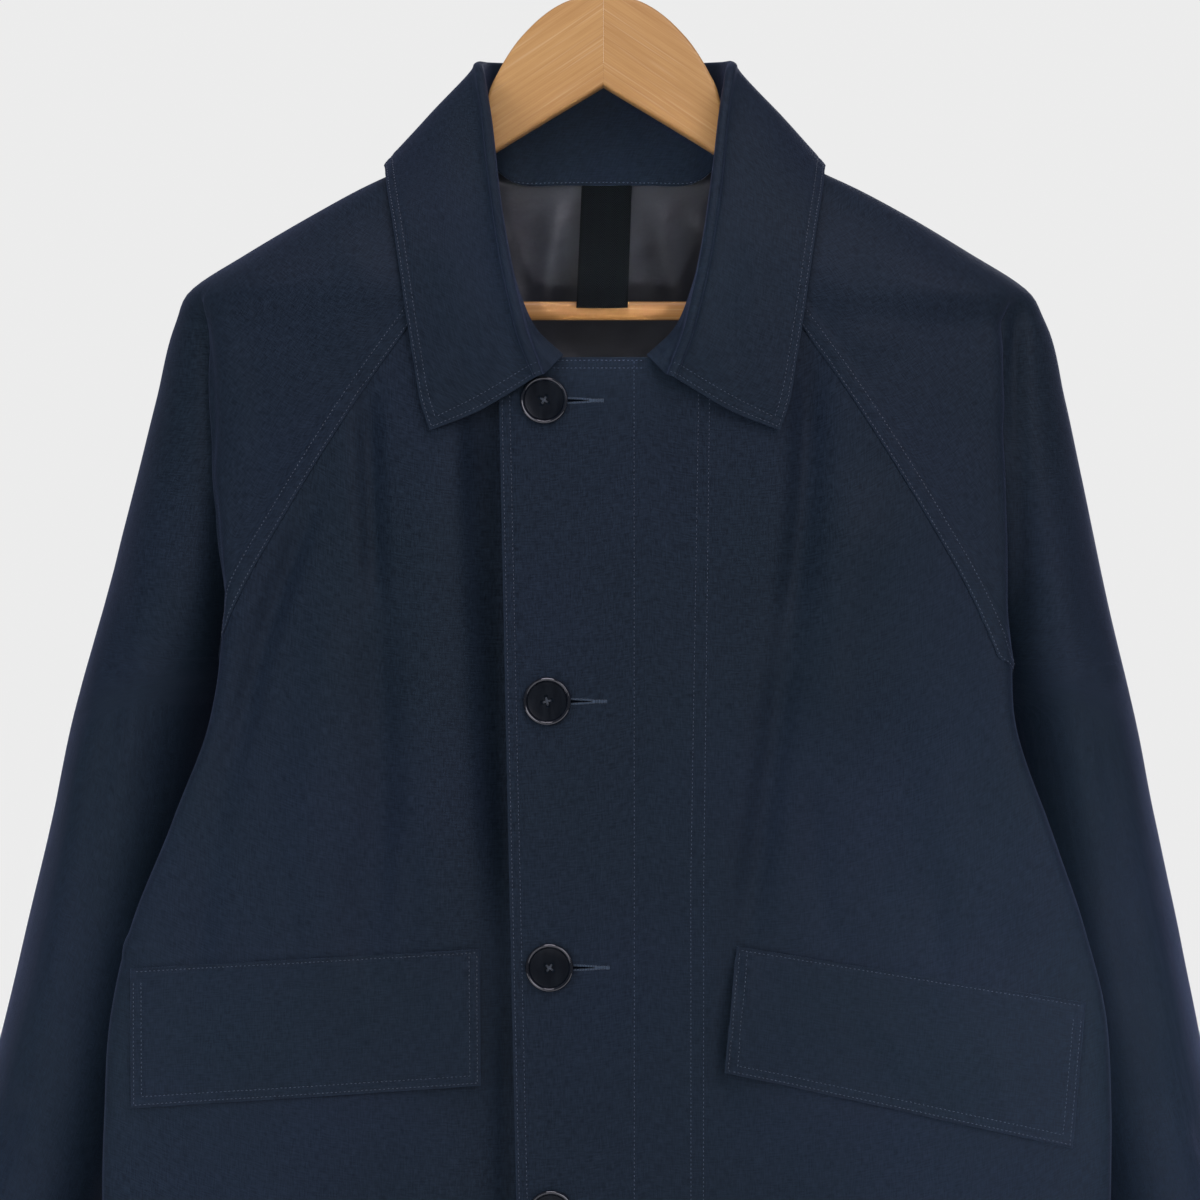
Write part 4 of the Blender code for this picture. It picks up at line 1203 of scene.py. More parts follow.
def front_stitches(thread):
    """Topstitching down the lap, along its neck edge and round the hem."""
    bm = bmesh.new()
    lap, under = "cloth_front_left", "cloth_front_right"
    top, low = NECK_FRONT_Z - 1.5, HEM_Z + 1.5
    for row in (EDGE_ROW, TOP_ROW):
        sew(bm, lap, down_front(row - lap_reach(top), row - lap_reach(low), top, low))
    sew(bm, lap, down_front(15.0, 15.0, top, low))
    for x_top, x_mid, x_low in ((48.6, 44.0, 44.0), (54.2, 50.6, 50.2)):
        sew(bm, lap, down_front(x_top, x_mid, top - 6, -530))
        sew(bm, lap, down_front(x_mid, x_low, -530, low))
    for below in (EDGE_ROW, TOP_ROW):
        z = NECK_FRONT_Z - below
        across = np.arange(3 - lap_reach(z), FRONT_NECK_X, 3.0)
        sew(bm, lap, [lies_on(lap, x, z)[0] for x in across])
    for shell, side in ((lap, 1), (under, -1)):
        z = HEM_Z + HEM_ROW
        end = seam_t(side, z)
        start = -t_at(-side, z, lap_reach(z))
        sew(bm, shell, [surface(side, z, start + (end - start) * k / 90) for k in range(91)])
    finished("stitches_fronts", bm, thread)


def back_stitches(thread):
    """Topstitching round the back hem."""
    bm = bmesh.new()
    z = HEM_Z + HEM_ROW
    for side in (1, -1):
        start = seam_t(side, z, True)
        points = [surface(side, z, start + (2 - start) * k / 70) for k in range(71)]
        sew(bm, "cloth_back", points)
    finished("stitches_back_hem", bm, thread)


def sleeve_stitches(side, thread):
    """Two rows beside each raglan seam, and one round the cuff."""
    bm = bmesh.new()
    for behind in (False, True):
        shell = ("cloth_sleeve_back_" if behind else "cloth_sleeve_front_") + hand(side)
        sign = -1 if behind else 1
        top = BACK_POINT_Z if behind else YOKE_POINT_Z
        for distance in (EDGE_ROW, RAGLAN_ROW):
            points = []
            for z in np.arange(top - 3, SEAM_TURN_Z - 10, -4.0):
                t = seam_t(side, float(z), behind)
                points.append(cloth(side, float(z), t, -SEAM_STEP, sign * distance))
            sew(bm, shell, points)
        z = CUFF_Z + HEM_ROW
        points = []
        for k in range(40):
            near = TUCK_T + 0.004 + (1 - TUCK_T) * k / 40
            spot = surface(side, z, 2 - near if behind else near)
            axis = read("sleeve", "out_" + hand(side), z) - read("sleeve", "half_wide", z)
            spot.z += SLEEVE_SLANT * (abs(spot.x) - axis)
            points.append(spot)
        sew(bm, shell, points)
    finished("stitches_sleeve_" + hand(side), bm, thread)


def collar_stitches(thread):
    """Two rows round the collar's leaf and one just above the seam at the back neck."""
    bm = bmesh.new()
    last = len(COLLAR) - 1
    shell = "cloth_collar_upper"
    for side in (1, -1):

        def spot(station, v, side=side):
            found = collar_outer(station, v)
            return Vector((found.x * side, found.y, found.z))

        for row in (EDGE_ROW, TOP_ROW):
            v = 1 - (1 - LEAF_V) * row / LEAF_TALL
            end = row / STATION_LONG
            top = FOLD_V - 0.03
            sew(bm, shell, [spot(end, top + (v - top) * k / 30) for k in range(31)])
            sew(bm, shell, [spot(end + (last - end) * k / 90, v) for k in range(91)])
        above = []
        for k in range(25):
            station = last - 3 + k / 8
            band = neck_band(station)
            above.append(spot(station, 0.0) - Vector((0, band.x, band.y - EDGE_ROW)))
        sew(bm, shell, above)
    finished("stitches_collar", bm, thread)


def flap_stitches(side, thread):
    """The row that holds a flap along its top and the rows round its edges."""
    bm = bmesh.new()
    shell = "cloth_flap_" + hand(side)

    def rim(inset, start):
        across, down = inset / FLAP_WIDE, 1 - inset / FLAP_TALL
        corners = ((across, start), (across, down), (1 - across, down), (1 - across, start))
        spots = []
        for (a0, d0), (a1, d1) in zip(corners, corners[1:]):
            steps = 14 if a0 == a1 else 34
            for k in range(steps):
                share = k / steps
                spots.append(flap_spot(side, a0 + (a1 - a0) * share, d0 + (d1 - d0) * share, 1))
        return spots

    top = [flap_spot(side, 0.01 + 0.98 * k / 40, EDGE_ROW / FLAP_TALL, 1) for k in range(41)]
    sew(bm, shell, top)
    for inset in (EDGE_ROW, TOP_ROW):
        sew(bm, shell, rim(inset, 0.04))
    finished("stitches_flap_" + hand(side), bm, thread)


def buttonhole(number, x, z, thread, dark):
    """A worked buttonhole: a slit that closes away from the button, with a bar of thread, and a
    near-black sheet in the slit as painted shadow.
    """
    lap = "cloth_front_left"
    start, close, end = x + 6, x + BUTTON_R + 12, x + BUTTON_R + 18.5
    bm = bmesh.new()
    for sign in (1, -1):
        points = []
        for k in range(25):
            at = start + (close - start) * k / 24
            open_by = 1.15 * math.sqrt(max(0.0, (close - at) / (close - start)))
            points.append(lies_on(lap, at, z + sign * (0.3 + open_by))[0])
        sew(bm, lap, points, 0.5, 1.25, 0.46, True)
    points = [lies_on(lap, close - 1 + (end - close + 1) * k / 10, z)[0] for k in range(11)]
    sew(bm, lap, points, 0.5, 2.1, 0.5, True)
    finished(f"buttonhole_{number}", bm, thread)
    # The open slit: a near-black sheet just off the lap, painted shadow.
    bm = bmesh.new()
    bmesh.ops.create_circle(bm, cap_ends=True, segments=24, radius=1)
    middle, out = lies_on(lap, (start + close) / 2, z)
    for vert in bm.verts:
        spot = Vector(((close - start) / 2 * vert.co.x, 0, 0.95 * vert.co.y))
        on, _ = lies_on(lap, middle.x + spot.x, z + spot.z)
        vert.co = (on + out * 0.12) * MM
    bmesh.ops.solidify(bm, geom=bm.faces[:], thickness=0.1 * MM)
    bmesh.ops.recalc_face_normals(bm, faces=bm.faces[:])
    finished(f"buttonhole_slit_shadow_{number}", bm, dark)


def turned_button(rim_finish, middle_finish):
    """A four-hole button at the origin: a domed rim round a flat satin middle."""
    bm = bmesh.new()
    verts = [bm.verts.new((r * MM, 0, z * MM)) for r, z in BUTTON_PROFILE]
    edges = [bm.edges.new(pair) for pair in zip(verts, verts[1:])]
    bmesh.ops.spin(
        bm,
        geom=verts + edges,
        cent=(0, 0, 0),
        axis=(0, 0, 1),
        angle=2 * math.pi,
        steps=64,
        use_merge=True,
    )
    bmesh.ops.remove_doubles(bm, verts=bm.verts[:], dist=1e-6)
    bmesh.ops.recalc_face_normals(bm, faces=bm.faces[:])
    for face in bm.faces:
        middle = face.calc_center_median()
        face.material_index = 1 if middle.xy.length < BUTTON_MIDDLE_R * MM and middle.z > 0.5 * MM else 0
    mesh = bpy.data.meshes.new("button")
    bm.to_mesh(mesh)
    bm.free()
    mesh.materials.append(rim_finish)
    mesh.materials.append(middle_finish)
    blank = bpy.data.objects.new("blank", mesh)
    bpy.context.scene.collection.objects.link(blank)
    drill = bmesh.new()
    for k in range(4):
        a = math.radians(45 + 90 * k)
        spot = Vector((math.cos(a), math.sin(a), 0.2)) * BUTTON_HOLE_AT * MM
        bmesh.ops.create_cone(
            drill,
            cap_ends=True,
            segments=16,
            radius1=BUTTON_HOLE_R * MM,
            radius2=BUTTON_HOLE_R * MM,
            depth=8 * MM,
            matrix=Matrix.Translation(spot),
        )
    bits = bpy.data.meshes.new("drill")
    drill.to_mesh(bits)
    drill.free()
    cutter = bpy.data.objects.new("drill", bits)
    bpy.context.scene.collection.objects.link(cutter)
    hole = blank.modifiers.new("holes", "BOOLEAN")
    hole.object = cutter
    hole.solver = "EXACT"
    ready = bpy.context.evaluated_depsgraph_get()
    drilled = bpy.data.meshes.new_from_object(blank.evaluated_get(ready))
    bpy.data.objects.remove(blank)
    bpy.data.objects.remove(cutter)
    return drilled


def sewn_button(number, x, z, drilled, thread):
    """A button on the lap with its crossed thread."""
    middle, out = lies_on("cloth_front_left", x, z)
    up = (Vector((0, 0, 1)) - out * out.z).normalized()
    turn = Matrix((up.cross(out), up, out)).transposed().to_4x4()
    twist = Matrix.Rotation(math.radians((38, 14, -31, 9, 26)[number % 5]), 4, "Z")
    place = Matrix.Translation((middle + out * BUTTON_GAP) * MM) @ turn @ twist
    bm = bmesh.new()
    bm.from_mesh(drilled)
    bmesh.ops.transform(bm, matrix=place, verts=bm.verts[:])
    made = finished(f"turned_button_{number}", bm, list(drilled.materials), [f"button_{number}"])
    made.data.set_sharp_from_angle(angle=math.radians(35))
    bm = bmesh.new()
    for k in range(2):
        for strand in (-STRAND, STRAND):
            a = math.radians(45 + 90 * k)
            run = Vector((math.cos(a), math.sin(a), 0))
            side = Vector((-run.y, run.x, 0))
            spot = side * strand + Vector((0, 0, 1.3 + 0.3 * k))
            pose = Matrix((side, Vector((0, 0, 1)), run)).transposed().to_4x4()
            size = Matrix.Diagonal((STRAND, STRAND, BUTTON_HOLE_AT - 0.2, 1))
            inner = Matrix.Translation(spot) @ pose @ size
            bmesh.ops.create_uvsphere(
                bm,
                u_segments=8,
                v_segments=8,
                radius=1,
                matrix=place @ Matrix.Scale(MM, 4) @ inner,
            )
    finished(f"button_thread_{number}", bm, thread)


def board(side, finish):
    """One arm of the hanger, a flat curved board with rounded edges."""
    tops = [(row["x"], row["top"]) for row in CROWN]
    for x in (74, 86, 100, 120, 140, 160, 180, 198, 208):
        tops.append((x, ridge_z(side, x + side * WOOD_X) - WOOD_UNDER))
    crown = [(x, smooth(*zip(*tops), x)) for x in np.linspace(0, 60, 34)] + tops[8:]
    places, heights = zip(*((row["x"], row["low"]) for row in WOOD_LOW))
    under = [(x, smooth(places, heights, x)) for x in np.linspace(8, 208, 26)]
    tip = (WOOD_TIP_X, (tops[-1][1] + heights[-1]) / 2)
    past = heights[0] + 6 * (heights[0] - under[0][1]) / 8
    ring = [(-6, crown[0][1]), *crown, tip, *reversed(under), (-6, past)]
    curve = bpy.data.curves.new("arm", "CURVE")
    curve.dimensions = "2D"
    curve.fill_mode = "BOTH"
    curve.extrude = (WOOD_DEEP / 2 - WOOD_ROUND) * MM
    curve.bevel_depth = WOOD_ROUND * MM
    curve.bevel_resolution = 4
    curve.offset = -WOOD_ROUND * MM
    spline = curve.splines.new("POLY")
    spline.points.add(len(ring) - 1)
    for point, (x, z) in zip(spline.points, ring):
        point.co = ((WOOD_X + side * x) * MM, z * MM, 0, 1)
    spline.use_cyclic_u = True
    flat = bpy.data.objects.new("arm", curve)
    bpy.context.scene.collection.objects.link(flat)
    ready = bpy.context.evaluated_depsgraph_get()
    mesh = bpy.data.meshes.new_from_object(flat.evaluated_get(ready))
    bpy.data.objects.remove(flat)
    bm = bmesh.new()
    bm.from_mesh(mesh)
    bmesh.ops.transform(bm, matrix=Matrix.Rotation(math.pi / 2, 4, "X"), verts=bm.verts[:])
    bmesh.ops.remove_doubles(bm, verts=bm.verts[:], dist=0.03 * MM)
    joint = bmesh.ops.bisect_plane(
        bm,
        geom=bm.verts[:] + bm.edges[:] + bm.faces[:],
        plane_co=Vector((WOOD_X + side * WOOD_JOINT, 0, 0)) * MM,
        plane_no=(side, 0, 0),
        clear_inner=True,
    )["geom_cut"]
    rim = [one for one in joint if isinstance(one, bmesh.types.BMEdge)]
    bmesh.ops.contextual_create(bm, geom=rim)
    bmesh.ops.recalc_face_normals(bm, faces=bm.faces[:])
    made = finished("board_" + hand(side), bm, finish, ["hanger_arm_" + hand(side)])
    made.data.set_sharp_from_angle(angle=math.radians(40))


def rail_bar(finish):
    """The straight rail between the arms, its long edges rounded over."""
    bm = bmesh.new()
    bmesh.ops.create_cube(bm, size=1)
    size = Matrix.Diagonal((2 * RAIL_HALF * MM, RAIL_DEEP * MM, RAIL_TALL * MM, 1))
    middle = Vector((WOOD_X, RAIL_Y, RAIL_TOP_Z - RAIL_TALL / 2)) * MM
    bmesh.ops.transform(bm, matrix=Matrix.Translation(middle) @ size, verts=bm.verts[:])
    bmesh.ops.bevel(
        bm,
        geom=bm.edges[:],
        offset=RAIL_ROUND * MM,
        affect="EDGES",
        segments=6,
        profile=0.5,
        material=-1,
    )
    finished("rail_bar", bm, finish, ["hanger_rail"])


def hook_wire(finish):
    """The wire hook, its end rounded."""
    radius = HOOK_INSIDE + HOOK_WIRE / 2
    path = [Vector((WOOD_X + x, 0, z)) * MM for x, z in HOOK_STEM]
    for k in range(45):
        a = math.radians(HOOK_START + HOOK_STEP * k)
        path.append(Vector((radius * math.cos(a), 0, radius * math.sin(a) - HOOK_INSIDE)) * MM)
    bm = bmesh.new()
    ring = bmesh.ops.create_circle(bm, segments=16, radius=HOOK_WIRE / 2 * MM)["verts"]
    bmesh.ops.contextual_create(bm, geom=ring)
    face = bm.faces[:][0]
    here = path[0]
    bmesh.ops.translate(bm, vec=here, verts=face.verts[:])
    heading = Vector((0, 0, 1))
    for there, ahead in zip(path[1:], path[2:] + path[-1:]):
        run = (ahead - here).normalized()
        grown = bmesh.ops.extrude_face_region(bm, geom=[face])["geom"]
        face = next(one for one in grown if isinstance(one, bmesh.types.BMFace))
        verts = face.verts[:]
        bmesh.ops.translate(bm, vec=there - here, verts=verts)
        turn = heading.rotation_difference(run).to_matrix()
        bmesh.ops.rotate(bm, cent=there, matrix=turn, verts=verts)
        here, heading = there, run
    bmesh.ops.bevel(
        bm,
        geom=face.edges[:],
        offset=HOOK_WIRE * 0.35 * MM,
        affect="EDGES",
        segments=3,
        profile=0.5,
        material=-1,
    )
    bmesh.ops.recalc_face_normals(bm, faces=bm.faces[:])
    made = finished("hook_wire", bm, finish, ["hanger_hook"])
    made.data.set_sharp_from_angle(angle=math.radians(50))


def nodes_of(name, colour, roughness, metallic=0.0):
    """A new material, its node tree and its shader."""
    made = bpy.data.materials.new(name)
    made.use_nodes = True
    shader = made.node_tree.nodes["Principled BSDF"]
    shader.inputs["Base Color"].default_value = (*colour, 1)
    shader.inputs["Roughness"].default_value = roughness
    shader.inputs["Metallic"].default_value = metallic
    return made, made.node_tree, shader


def node(tree, kind, values=(), **settings):
    """A node with its input values and settings; a value may be another node's output."""
    made = tree.nodes.new("ShaderNode" + kind)
    for key, value in settings.items():
        setattr(made, key, value)
    for key, value in dict(values).items():
        if isinstance(value, bpy.types.NodeSocket):
            tree.links.new(value, made.inputs[key])
        else:
            made.inputs[key].default_value = value
    return made


def sums(tree, operation, first, second=0.0):
    """The output of one sum on two numbers."""
    return node(tree, "Math", {0: first, 1: second}, operation=operation).outputs[0]


def mixed(tree, factor, first, second, **settings):
    """A mix of two colours; the first may be another node's output."""
    mix = node(tree, "Mix", {"Factor": factor}, data_type="RGBA", **settings)
    if isinstance(first, bpy.types.NodeSocket):
        tree.links.new(first, mix.inputs[6])
    else:
        mix.inputs[6].default_value = (*first, 1)
    mix.inputs[7].default_value = (*second, 1)
    return mix.outputs[2]


def shade(tree, factor, dark, light, low=0.0, high=1.0):
    """A colour between two as a factor runs from low to high."""
    return mixed(tree, span(tree, factor, 0.0, 1.0, (low, high)), dark, light)


def share_of(tree, output, share):
    """An output times a share."""
    return sums(tree, "MULTIPLY", output, share)


def paint(tree, shader, colour, roughness):
    """Two outputs as the shader's colour and roughness."""
    tree.links.new(colour, shader.inputs["Base Color"])
    tree.links.new(roughness, shader.inputs["Roughness"])


def span(tree, factor, low, high, source=(0.0, 1.0)):
    """A number between two as a factor runs over its own span."""
    values = {"Value": factor, "From Min": source[0], "From Max": source[1]}
    values.update({"To Min": low, "To Max": high})
    return node(tree, "MapRange", values).outputs["Result"]


def weave_place(tree, across=1.0, along=1.0):
    """Coordinates that follow the cloth, in metres, stretched in its two directions."""
    place = node(tree, "Attribute", attribute_name="weave").outputs["Vector"]
    return node(tree, "Mapping", {"Vector": place, "Scale": (across, along, 1)}).outputs["Vector"]


def noise(tree, place, scale, detail=2.0, roughness=0.5):
    """The output of a noise pattern."""
    values = {"Vector": place, "Scale": scale, "Detail": detail, "Roughness": roughness}
    return node(tree, "TexNoise", values).outputs["Fac"]


def bands(tree, place, step, direction):
    """0 to 1 in threads a step apart along one direction."""
    values = {"Vector": place, "Scale": 0.3142 / step, "Distortion": 0.0}
    made = node(tree, "TexWave", values, bands_direction=direction, wave_profile="SIN")
    return made.outputs["Fac"]


def bump(tree, shader, height, distance, strength):
    """Fine relief from a height, its distance in metres."""
    values = {"Height": height, "Distance": distance, "Strength": strength}
    made = node(tree, "Bump", values)
    tree.links.new(made.outputs["Normal"], shader.inputs["Normal"])


def navy_cotton():
    """Close plain-woven cotton with faint slubs both ways, paler along free edges: partly scuffing,
    partly a painted highlight.
    """
    made, tree, shader = nodes_of("cotton", (0.0145, 0.0215, 0.036), 0.8)
    place = weave_place(tree)
    warp = noise(tree, weave_place(tree, 1.0, 0.14), 1400, 1.5)
    weft = noise(tree, weave_place(tree, 0.14, 1.0), 1400, 1.5)
    cloudy = noise(tree, place, 26, 3.0)
    threads = sums(tree, "ADD", warp, weft)
    grain = sums(tree, "ADD", threads, share_of(tree, cloudy, 0.14))
    slub_warp = noise(tree, weave_place(tree, 1.0, 0.3), 1000, 2.0)
    slub_weft = noise(tree, weave_place(tree, 0.3, 1.0), 1000, 2.0)
    slubs = sums(tree, "ADD", slub_warp, slub_weft)
    grain = sums(tree, "ADD", grain, share_of(tree, slubs, 0.22))
    colour = shade(tree, grain, (0.0028, 0.0058, 0.0097), (0.0076, 0.0140, 0.0221), 1.01, 1.58)
    broad = span(tree, noise(tree, place, 7, 1.0), 0.0, 1.0, (0.35, 0.65))
    colour = mixed(tree, broad, colour, (1.12, 1.03, 1.15), blend_type="MULTIPLY")
    # Paler free edges and seams: partly scuffing, partly a painted highlight where the edges catch the
    # light.
    edge_scuff_and_highlight = node(tree, "Attribute", attribute_name="edge_scuff_and_highlight").outputs["Fac"]
    scuff_and_highlight_share = sums(tree, "MULTIPLY", edge_scuff_and_highlight, span(tree, noise(tree, place, 220, 2.0), 0.05, 0.45))
    colour = mixed(tree, scuff_and_highlight_share, colour, (0.014, 0.022, 0.036))
    paint(tree, shader, colour, span(tree, cloudy, 0.52, 0.64))
    shader.inputs["Sheen Weight"].default_value = 0.09
    shader.inputs["Sheen Roughness"].default_value = 0.4
    shader.inputs["Sheen Tint"].default_value = (0.46, 0.55, 1.0, 1)
    shader.inputs["Specular IOR Level"].default_value = 0.15
    shader.inputs["Specular Tint"].default_value = (0.78, 0.84, 1.0, 1)
    weft_bands, warp_bands = (bands(tree, place, COTTON_THREAD, way) for way in ("X", "Y"))
    over = sums(tree, "MULTIPLY", weft_bands, warp_bands)
    rough = sums(tree, "ADD", share_of(tree, over, 0.4), share_of(tree, threads, 0.9))
    bump(tree, shader, rough, 0.00014, 0.7)
    return made


def lining_satin():
    """Grey silky lining, softly crumpled."""
    made, tree, shader = nodes_of("satin", (0.044, 0.044, 0.052), 0.42)
    place = weave_place(tree)
    cloudy = noise(tree, place, 34, 4.0, 0.6)
    colour = shade(tree, cloudy, (0.0160, 0.0170, 0.0215), (0.0275, 0.0295, 0.0385), 0.3, 0.75)
    paint(tree, shader, colour, span(tree, cloudy, 0.30, 0.46))
    shader.inputs["Sheen Weight"].default_value = 0.2
    shader.inputs["Sheen Roughness"].default_value = 0.3
    crumple = noise(tree, weave_place(tree, 1.0, 1.3), 70, 4.0, 0.55)
    twill = bands(tree, place, SATIN_THREAD, "DIAGONAL")
    height = sums(tree, "ADD", crumple, share_of(tree, twill, 0.02))
    bump(tree, shader, height, 0.0014, 0.4)
    return made


def tape_black():
    """Black tape in herringbone: fine slanted ribs that turn at each stripe."""
    made, tree, shader = nodes_of("tape", (0.0075, 0.0102, 0.0128), 0.85)
    place = weave_place(tree)
    parts = node(tree, "SeparateXYZ", {"Vector": place})
    zigzag = sums(tree, "PINGPONG", parts.outputs["X"], TAPE_STRIPE)
    slant = sums(tree, "ADD", parts.outputs["Y"], share_of(tree, zigzag, 1.5))
    rib = sums(tree, "SINE", share_of(tree, slant, 2 * math.pi / TAPE_RIB))
    rib = span(tree, rib, 0.0, 1.0, (-1.0, 1.0))
    fuzz = noise(tree, place, 1800, 2.0)
    tone = sums(tree, "ADD", share_of(tree, rib, 0.6), share_of(tree, fuzz, 0.5))
    colour = shade(tree, tone, (0.0002, 0.0004, 0.0006), (0.0065, 0.0090, 0.0106), 0.4, 0.8)
    paint(tree, shader, colour, span(tree, fuzz, 0.75, 0.95))
    shader.inputs["Specular IOR Level"].default_value = 0.12
    bump(tree, shader, tone, 0.00035, 0.8)
    return made


def thread(name, dark, light):
    """Twisted sewing thread, a little uneven in colour."""
    made, tree, shader = nodes_of(name, light, 0.6)
    place = node(tree, "TexCoord").outputs["Object"]
    uneven = noise(tree, place, 900, 2.0)
    paint(tree, shader, shade(tree, uneven, dark, light, 0.3, 0.7), span(tree, uneven, 0.5, 0.75))
    shader.inputs["Sheen Weight"].default_value = 0.3
    bump(tree, shader, noise(tree, place, 4000, 1.0), 0.0001, 0.5)
    return made


def polished(name, dark, light, low, high, gloss):
    """Near-black horn-like plastic with faint streaks, its roughness between low and high."""
    made, tree, shader = nodes_of(name, dark, low)
    place = node(tree, "TexCoord").outputs["Object"]
    streak = node(tree, "Mapping", {"Vector": place, "Scale": (1, 1, 0.25)}).outputs["Vector"]
    cloudy = noise(tree, streak, 260, 4.0, 0.6)
    paint(tree, shader, shade(tree, cloudy, dark, light, 0.35, 0.8), span(tree, cloudy, low, high))
    shader.inputs["Specular IOR Level"].default_value = gloss
    bump(tree, shader, noise(tree, place, 900, 2.0), 0.00005, 0.15)
    return made


def varnished_wood(name, slant, tones, rings):
    """Satin-varnished wood; its grain slants by degrees from level, with rings metres apart."""
    made, tree, shader = nodes_of(name, tones[1], 0.42)
    place = node(tree, "TexCoord").outputs["Object"]
    turned = node(tree, "VectorRotate", {"Vector": place, "Angle": math.radians(slant)})
    turned.rotation_type = "Y_AXIS"
    turned = turned.outputs["Vector"]
    long = node(tree, "Mapping", {"Vector": turned, "Scale": (0.09, 1, 1)}).outputs["Vector"]
    fine = node(tree, "Mapping", {"Vector": turned, "Scale": (0.02, 1, 1)}).outputs["Vector"]
    drift = noise(tree, long, 26, 3.0, 0.55)
    parts = node(tree, "SeparateXYZ", {"Vector": turned})
    depth = sums(tree, "ADD", parts.outputs["Z"], share_of(tree, drift, 0.022))
    ring = sums(tree, "SINE", share_of(tree, depth, 2 * math.pi / rings))
    ring = span(tree, ring, 0.0, 1.0, (-1.0, 1.0))
    pores = noise(tree, fine, 1500, 2.0, 0.6)
    tone = sums(tree, "ADD", share_of(tree, ring, 0.1), share_of(tree, pores, 0.55))
    tone = sums(tree, "ADD", tone, share_of(tree, drift, 0.6))
    colour = shade(tree, tone, tones[0], tones[1], 0.35, 0.95)
    fleck = span(tree, noise(tree, fine, 900, 1.0), 0.0, 0.3, (0.60, 0.72))
    colour = mixed(tree, fleck, colour, (0.48, 0.33, 0.19))
    paint(tree, shader, colour, span(tree, pores, 0.34, 0.52))
    shader.inputs["Specular IOR Level"].default_value = 0.3
    shader.inputs["Coat Weight"].default_value = 0.06
    shader.inputs["Coat Roughness"].default_value = 0.3
    bump(tree, shader, pores, 0.00015, 0.25)
    return made


def hook_steel():
    """Plated wire, very slightly brushed."""
    made, tree, shader = nodes_of("plated_wire", (0.62, 0.62, 0.62), 0.18, 1.0)
    place = node(tree, "TexCoord").outputs["Object"]
    cloudy = noise(tree, place, 300, 3.0)
    colour = shade(tree, cloudy, (0.56, 0.56, 0.57), (0.68, 0.68, 0.67), 0.3, 0.7)
    paint(tree, shader, colour, span(tree, cloudy, 0.12, 0.3))
    return made


def floor():
    """A plain pale floor below the hem."""
    made, tree, shader = nodes_of("pale_floor", (0.8, 0.8, 0.8), 0.9)
    place = node(tree, "TexCoord").outputs["Object"]
    colour = shade(tree, noise(tree, place, 3, 2.0), (0.79, 0.79, 0.79), (0.81, 0.81, 0.81))
    tree.links.new(colour, shader.inputs["Base Color"])
    bm = bmesh.new()
    bmesh.ops.create_grid(bm, x_segments=1, y_segments=1, size=FLOOR_HALF)
    bmesh.ops.translate(bm, vec=(0, 0, FLOOR_Z), verts=bm.verts[:])
    mesh = bpy.data.meshes.new("floor")
    bm.to_mesh(mesh)
    bm.free()
    mesh.materials.append(made)
    plane = bpy.data.objects.new("floor", mesh)
    bpy.context.scene.collection.objects.link(plane)


# In metres, as all of the studio is: the camera looks level from this height and distance, and its
# picture spans this width at the hanger, shifted by a share of it.
EYE_Z = -0.386
EYE_AWAY = 2.4
PICTURE_WIDE = 0.636
PICTURE_SHIFT = -5 / 1200
SENSOR = 36.0
FLOOR_Z = -1.12
FLOOR_HALF = 2.0
# The surround as the camera sees it, as it lights the cloth, and in reflections.
PALE = (0.84, 0.84, 0.84)
DIM = (0.50, 0.50, 0.55)
MIRRORED = (0.12, 0.12, 0.13)

# Softboxes and small lamps: place, where each looks, size, spread in degrees, power, whether it
# shows in reflections, and colour.
LIGHTS = table(
    "name x y z aim_x aim_z size spread power gloss colour",
    ("front", -0.3, -3.0, -0.35, 0.0, -0.39, 1.6, 180, 18.0, False, (1.0, 1.0, 0.88)),
    ("key", 1.5, -2.1, 1.2, 0.0, -0.39, 1.9, 180, 41.0, True, (0.90, 0.88, 1.0)),
    ("fill", -2.2, -1.9, -0.1, 0.0, -0.39, 1.3, 180, 38.5, False, (0.90, 0.89, 1.0)),
    ("top", 0.0, -0.7, 1.9, 0.0, -0.39, 1.2, 180, 21.5, True, (0.94, 0.88, 1.0)),
    ("neck", 0.0, -1.3, -0.62, 0.0, -0.19, 0.06, 6, 0.037, False, (1.0, 0.98, 0.96)),
    ("inside", 0.0, -0.045, -0.29, 0.0, -0.262, 0.05, 180, 0.022, False, (1.0, 0.98, 0.96)),
    ("left_sleeve", 0.45, -2.4, -0.5, 0.31, -0.62, 0.3, 12, 0.36, False, (0.93, 0.92, 1.0)),
    ("right_sleeve", -0.45, -2.4, -0.5, -0.31, -0.62, 0.3, 12, 0.15, False, (0.93, 0.92, 1.0)),
    ("back", 0.7, 2.9, 0.3, 0.0, -0.39, 1.5, 180, 14.0, True, (0.88, 0.90, 1.0)),
)


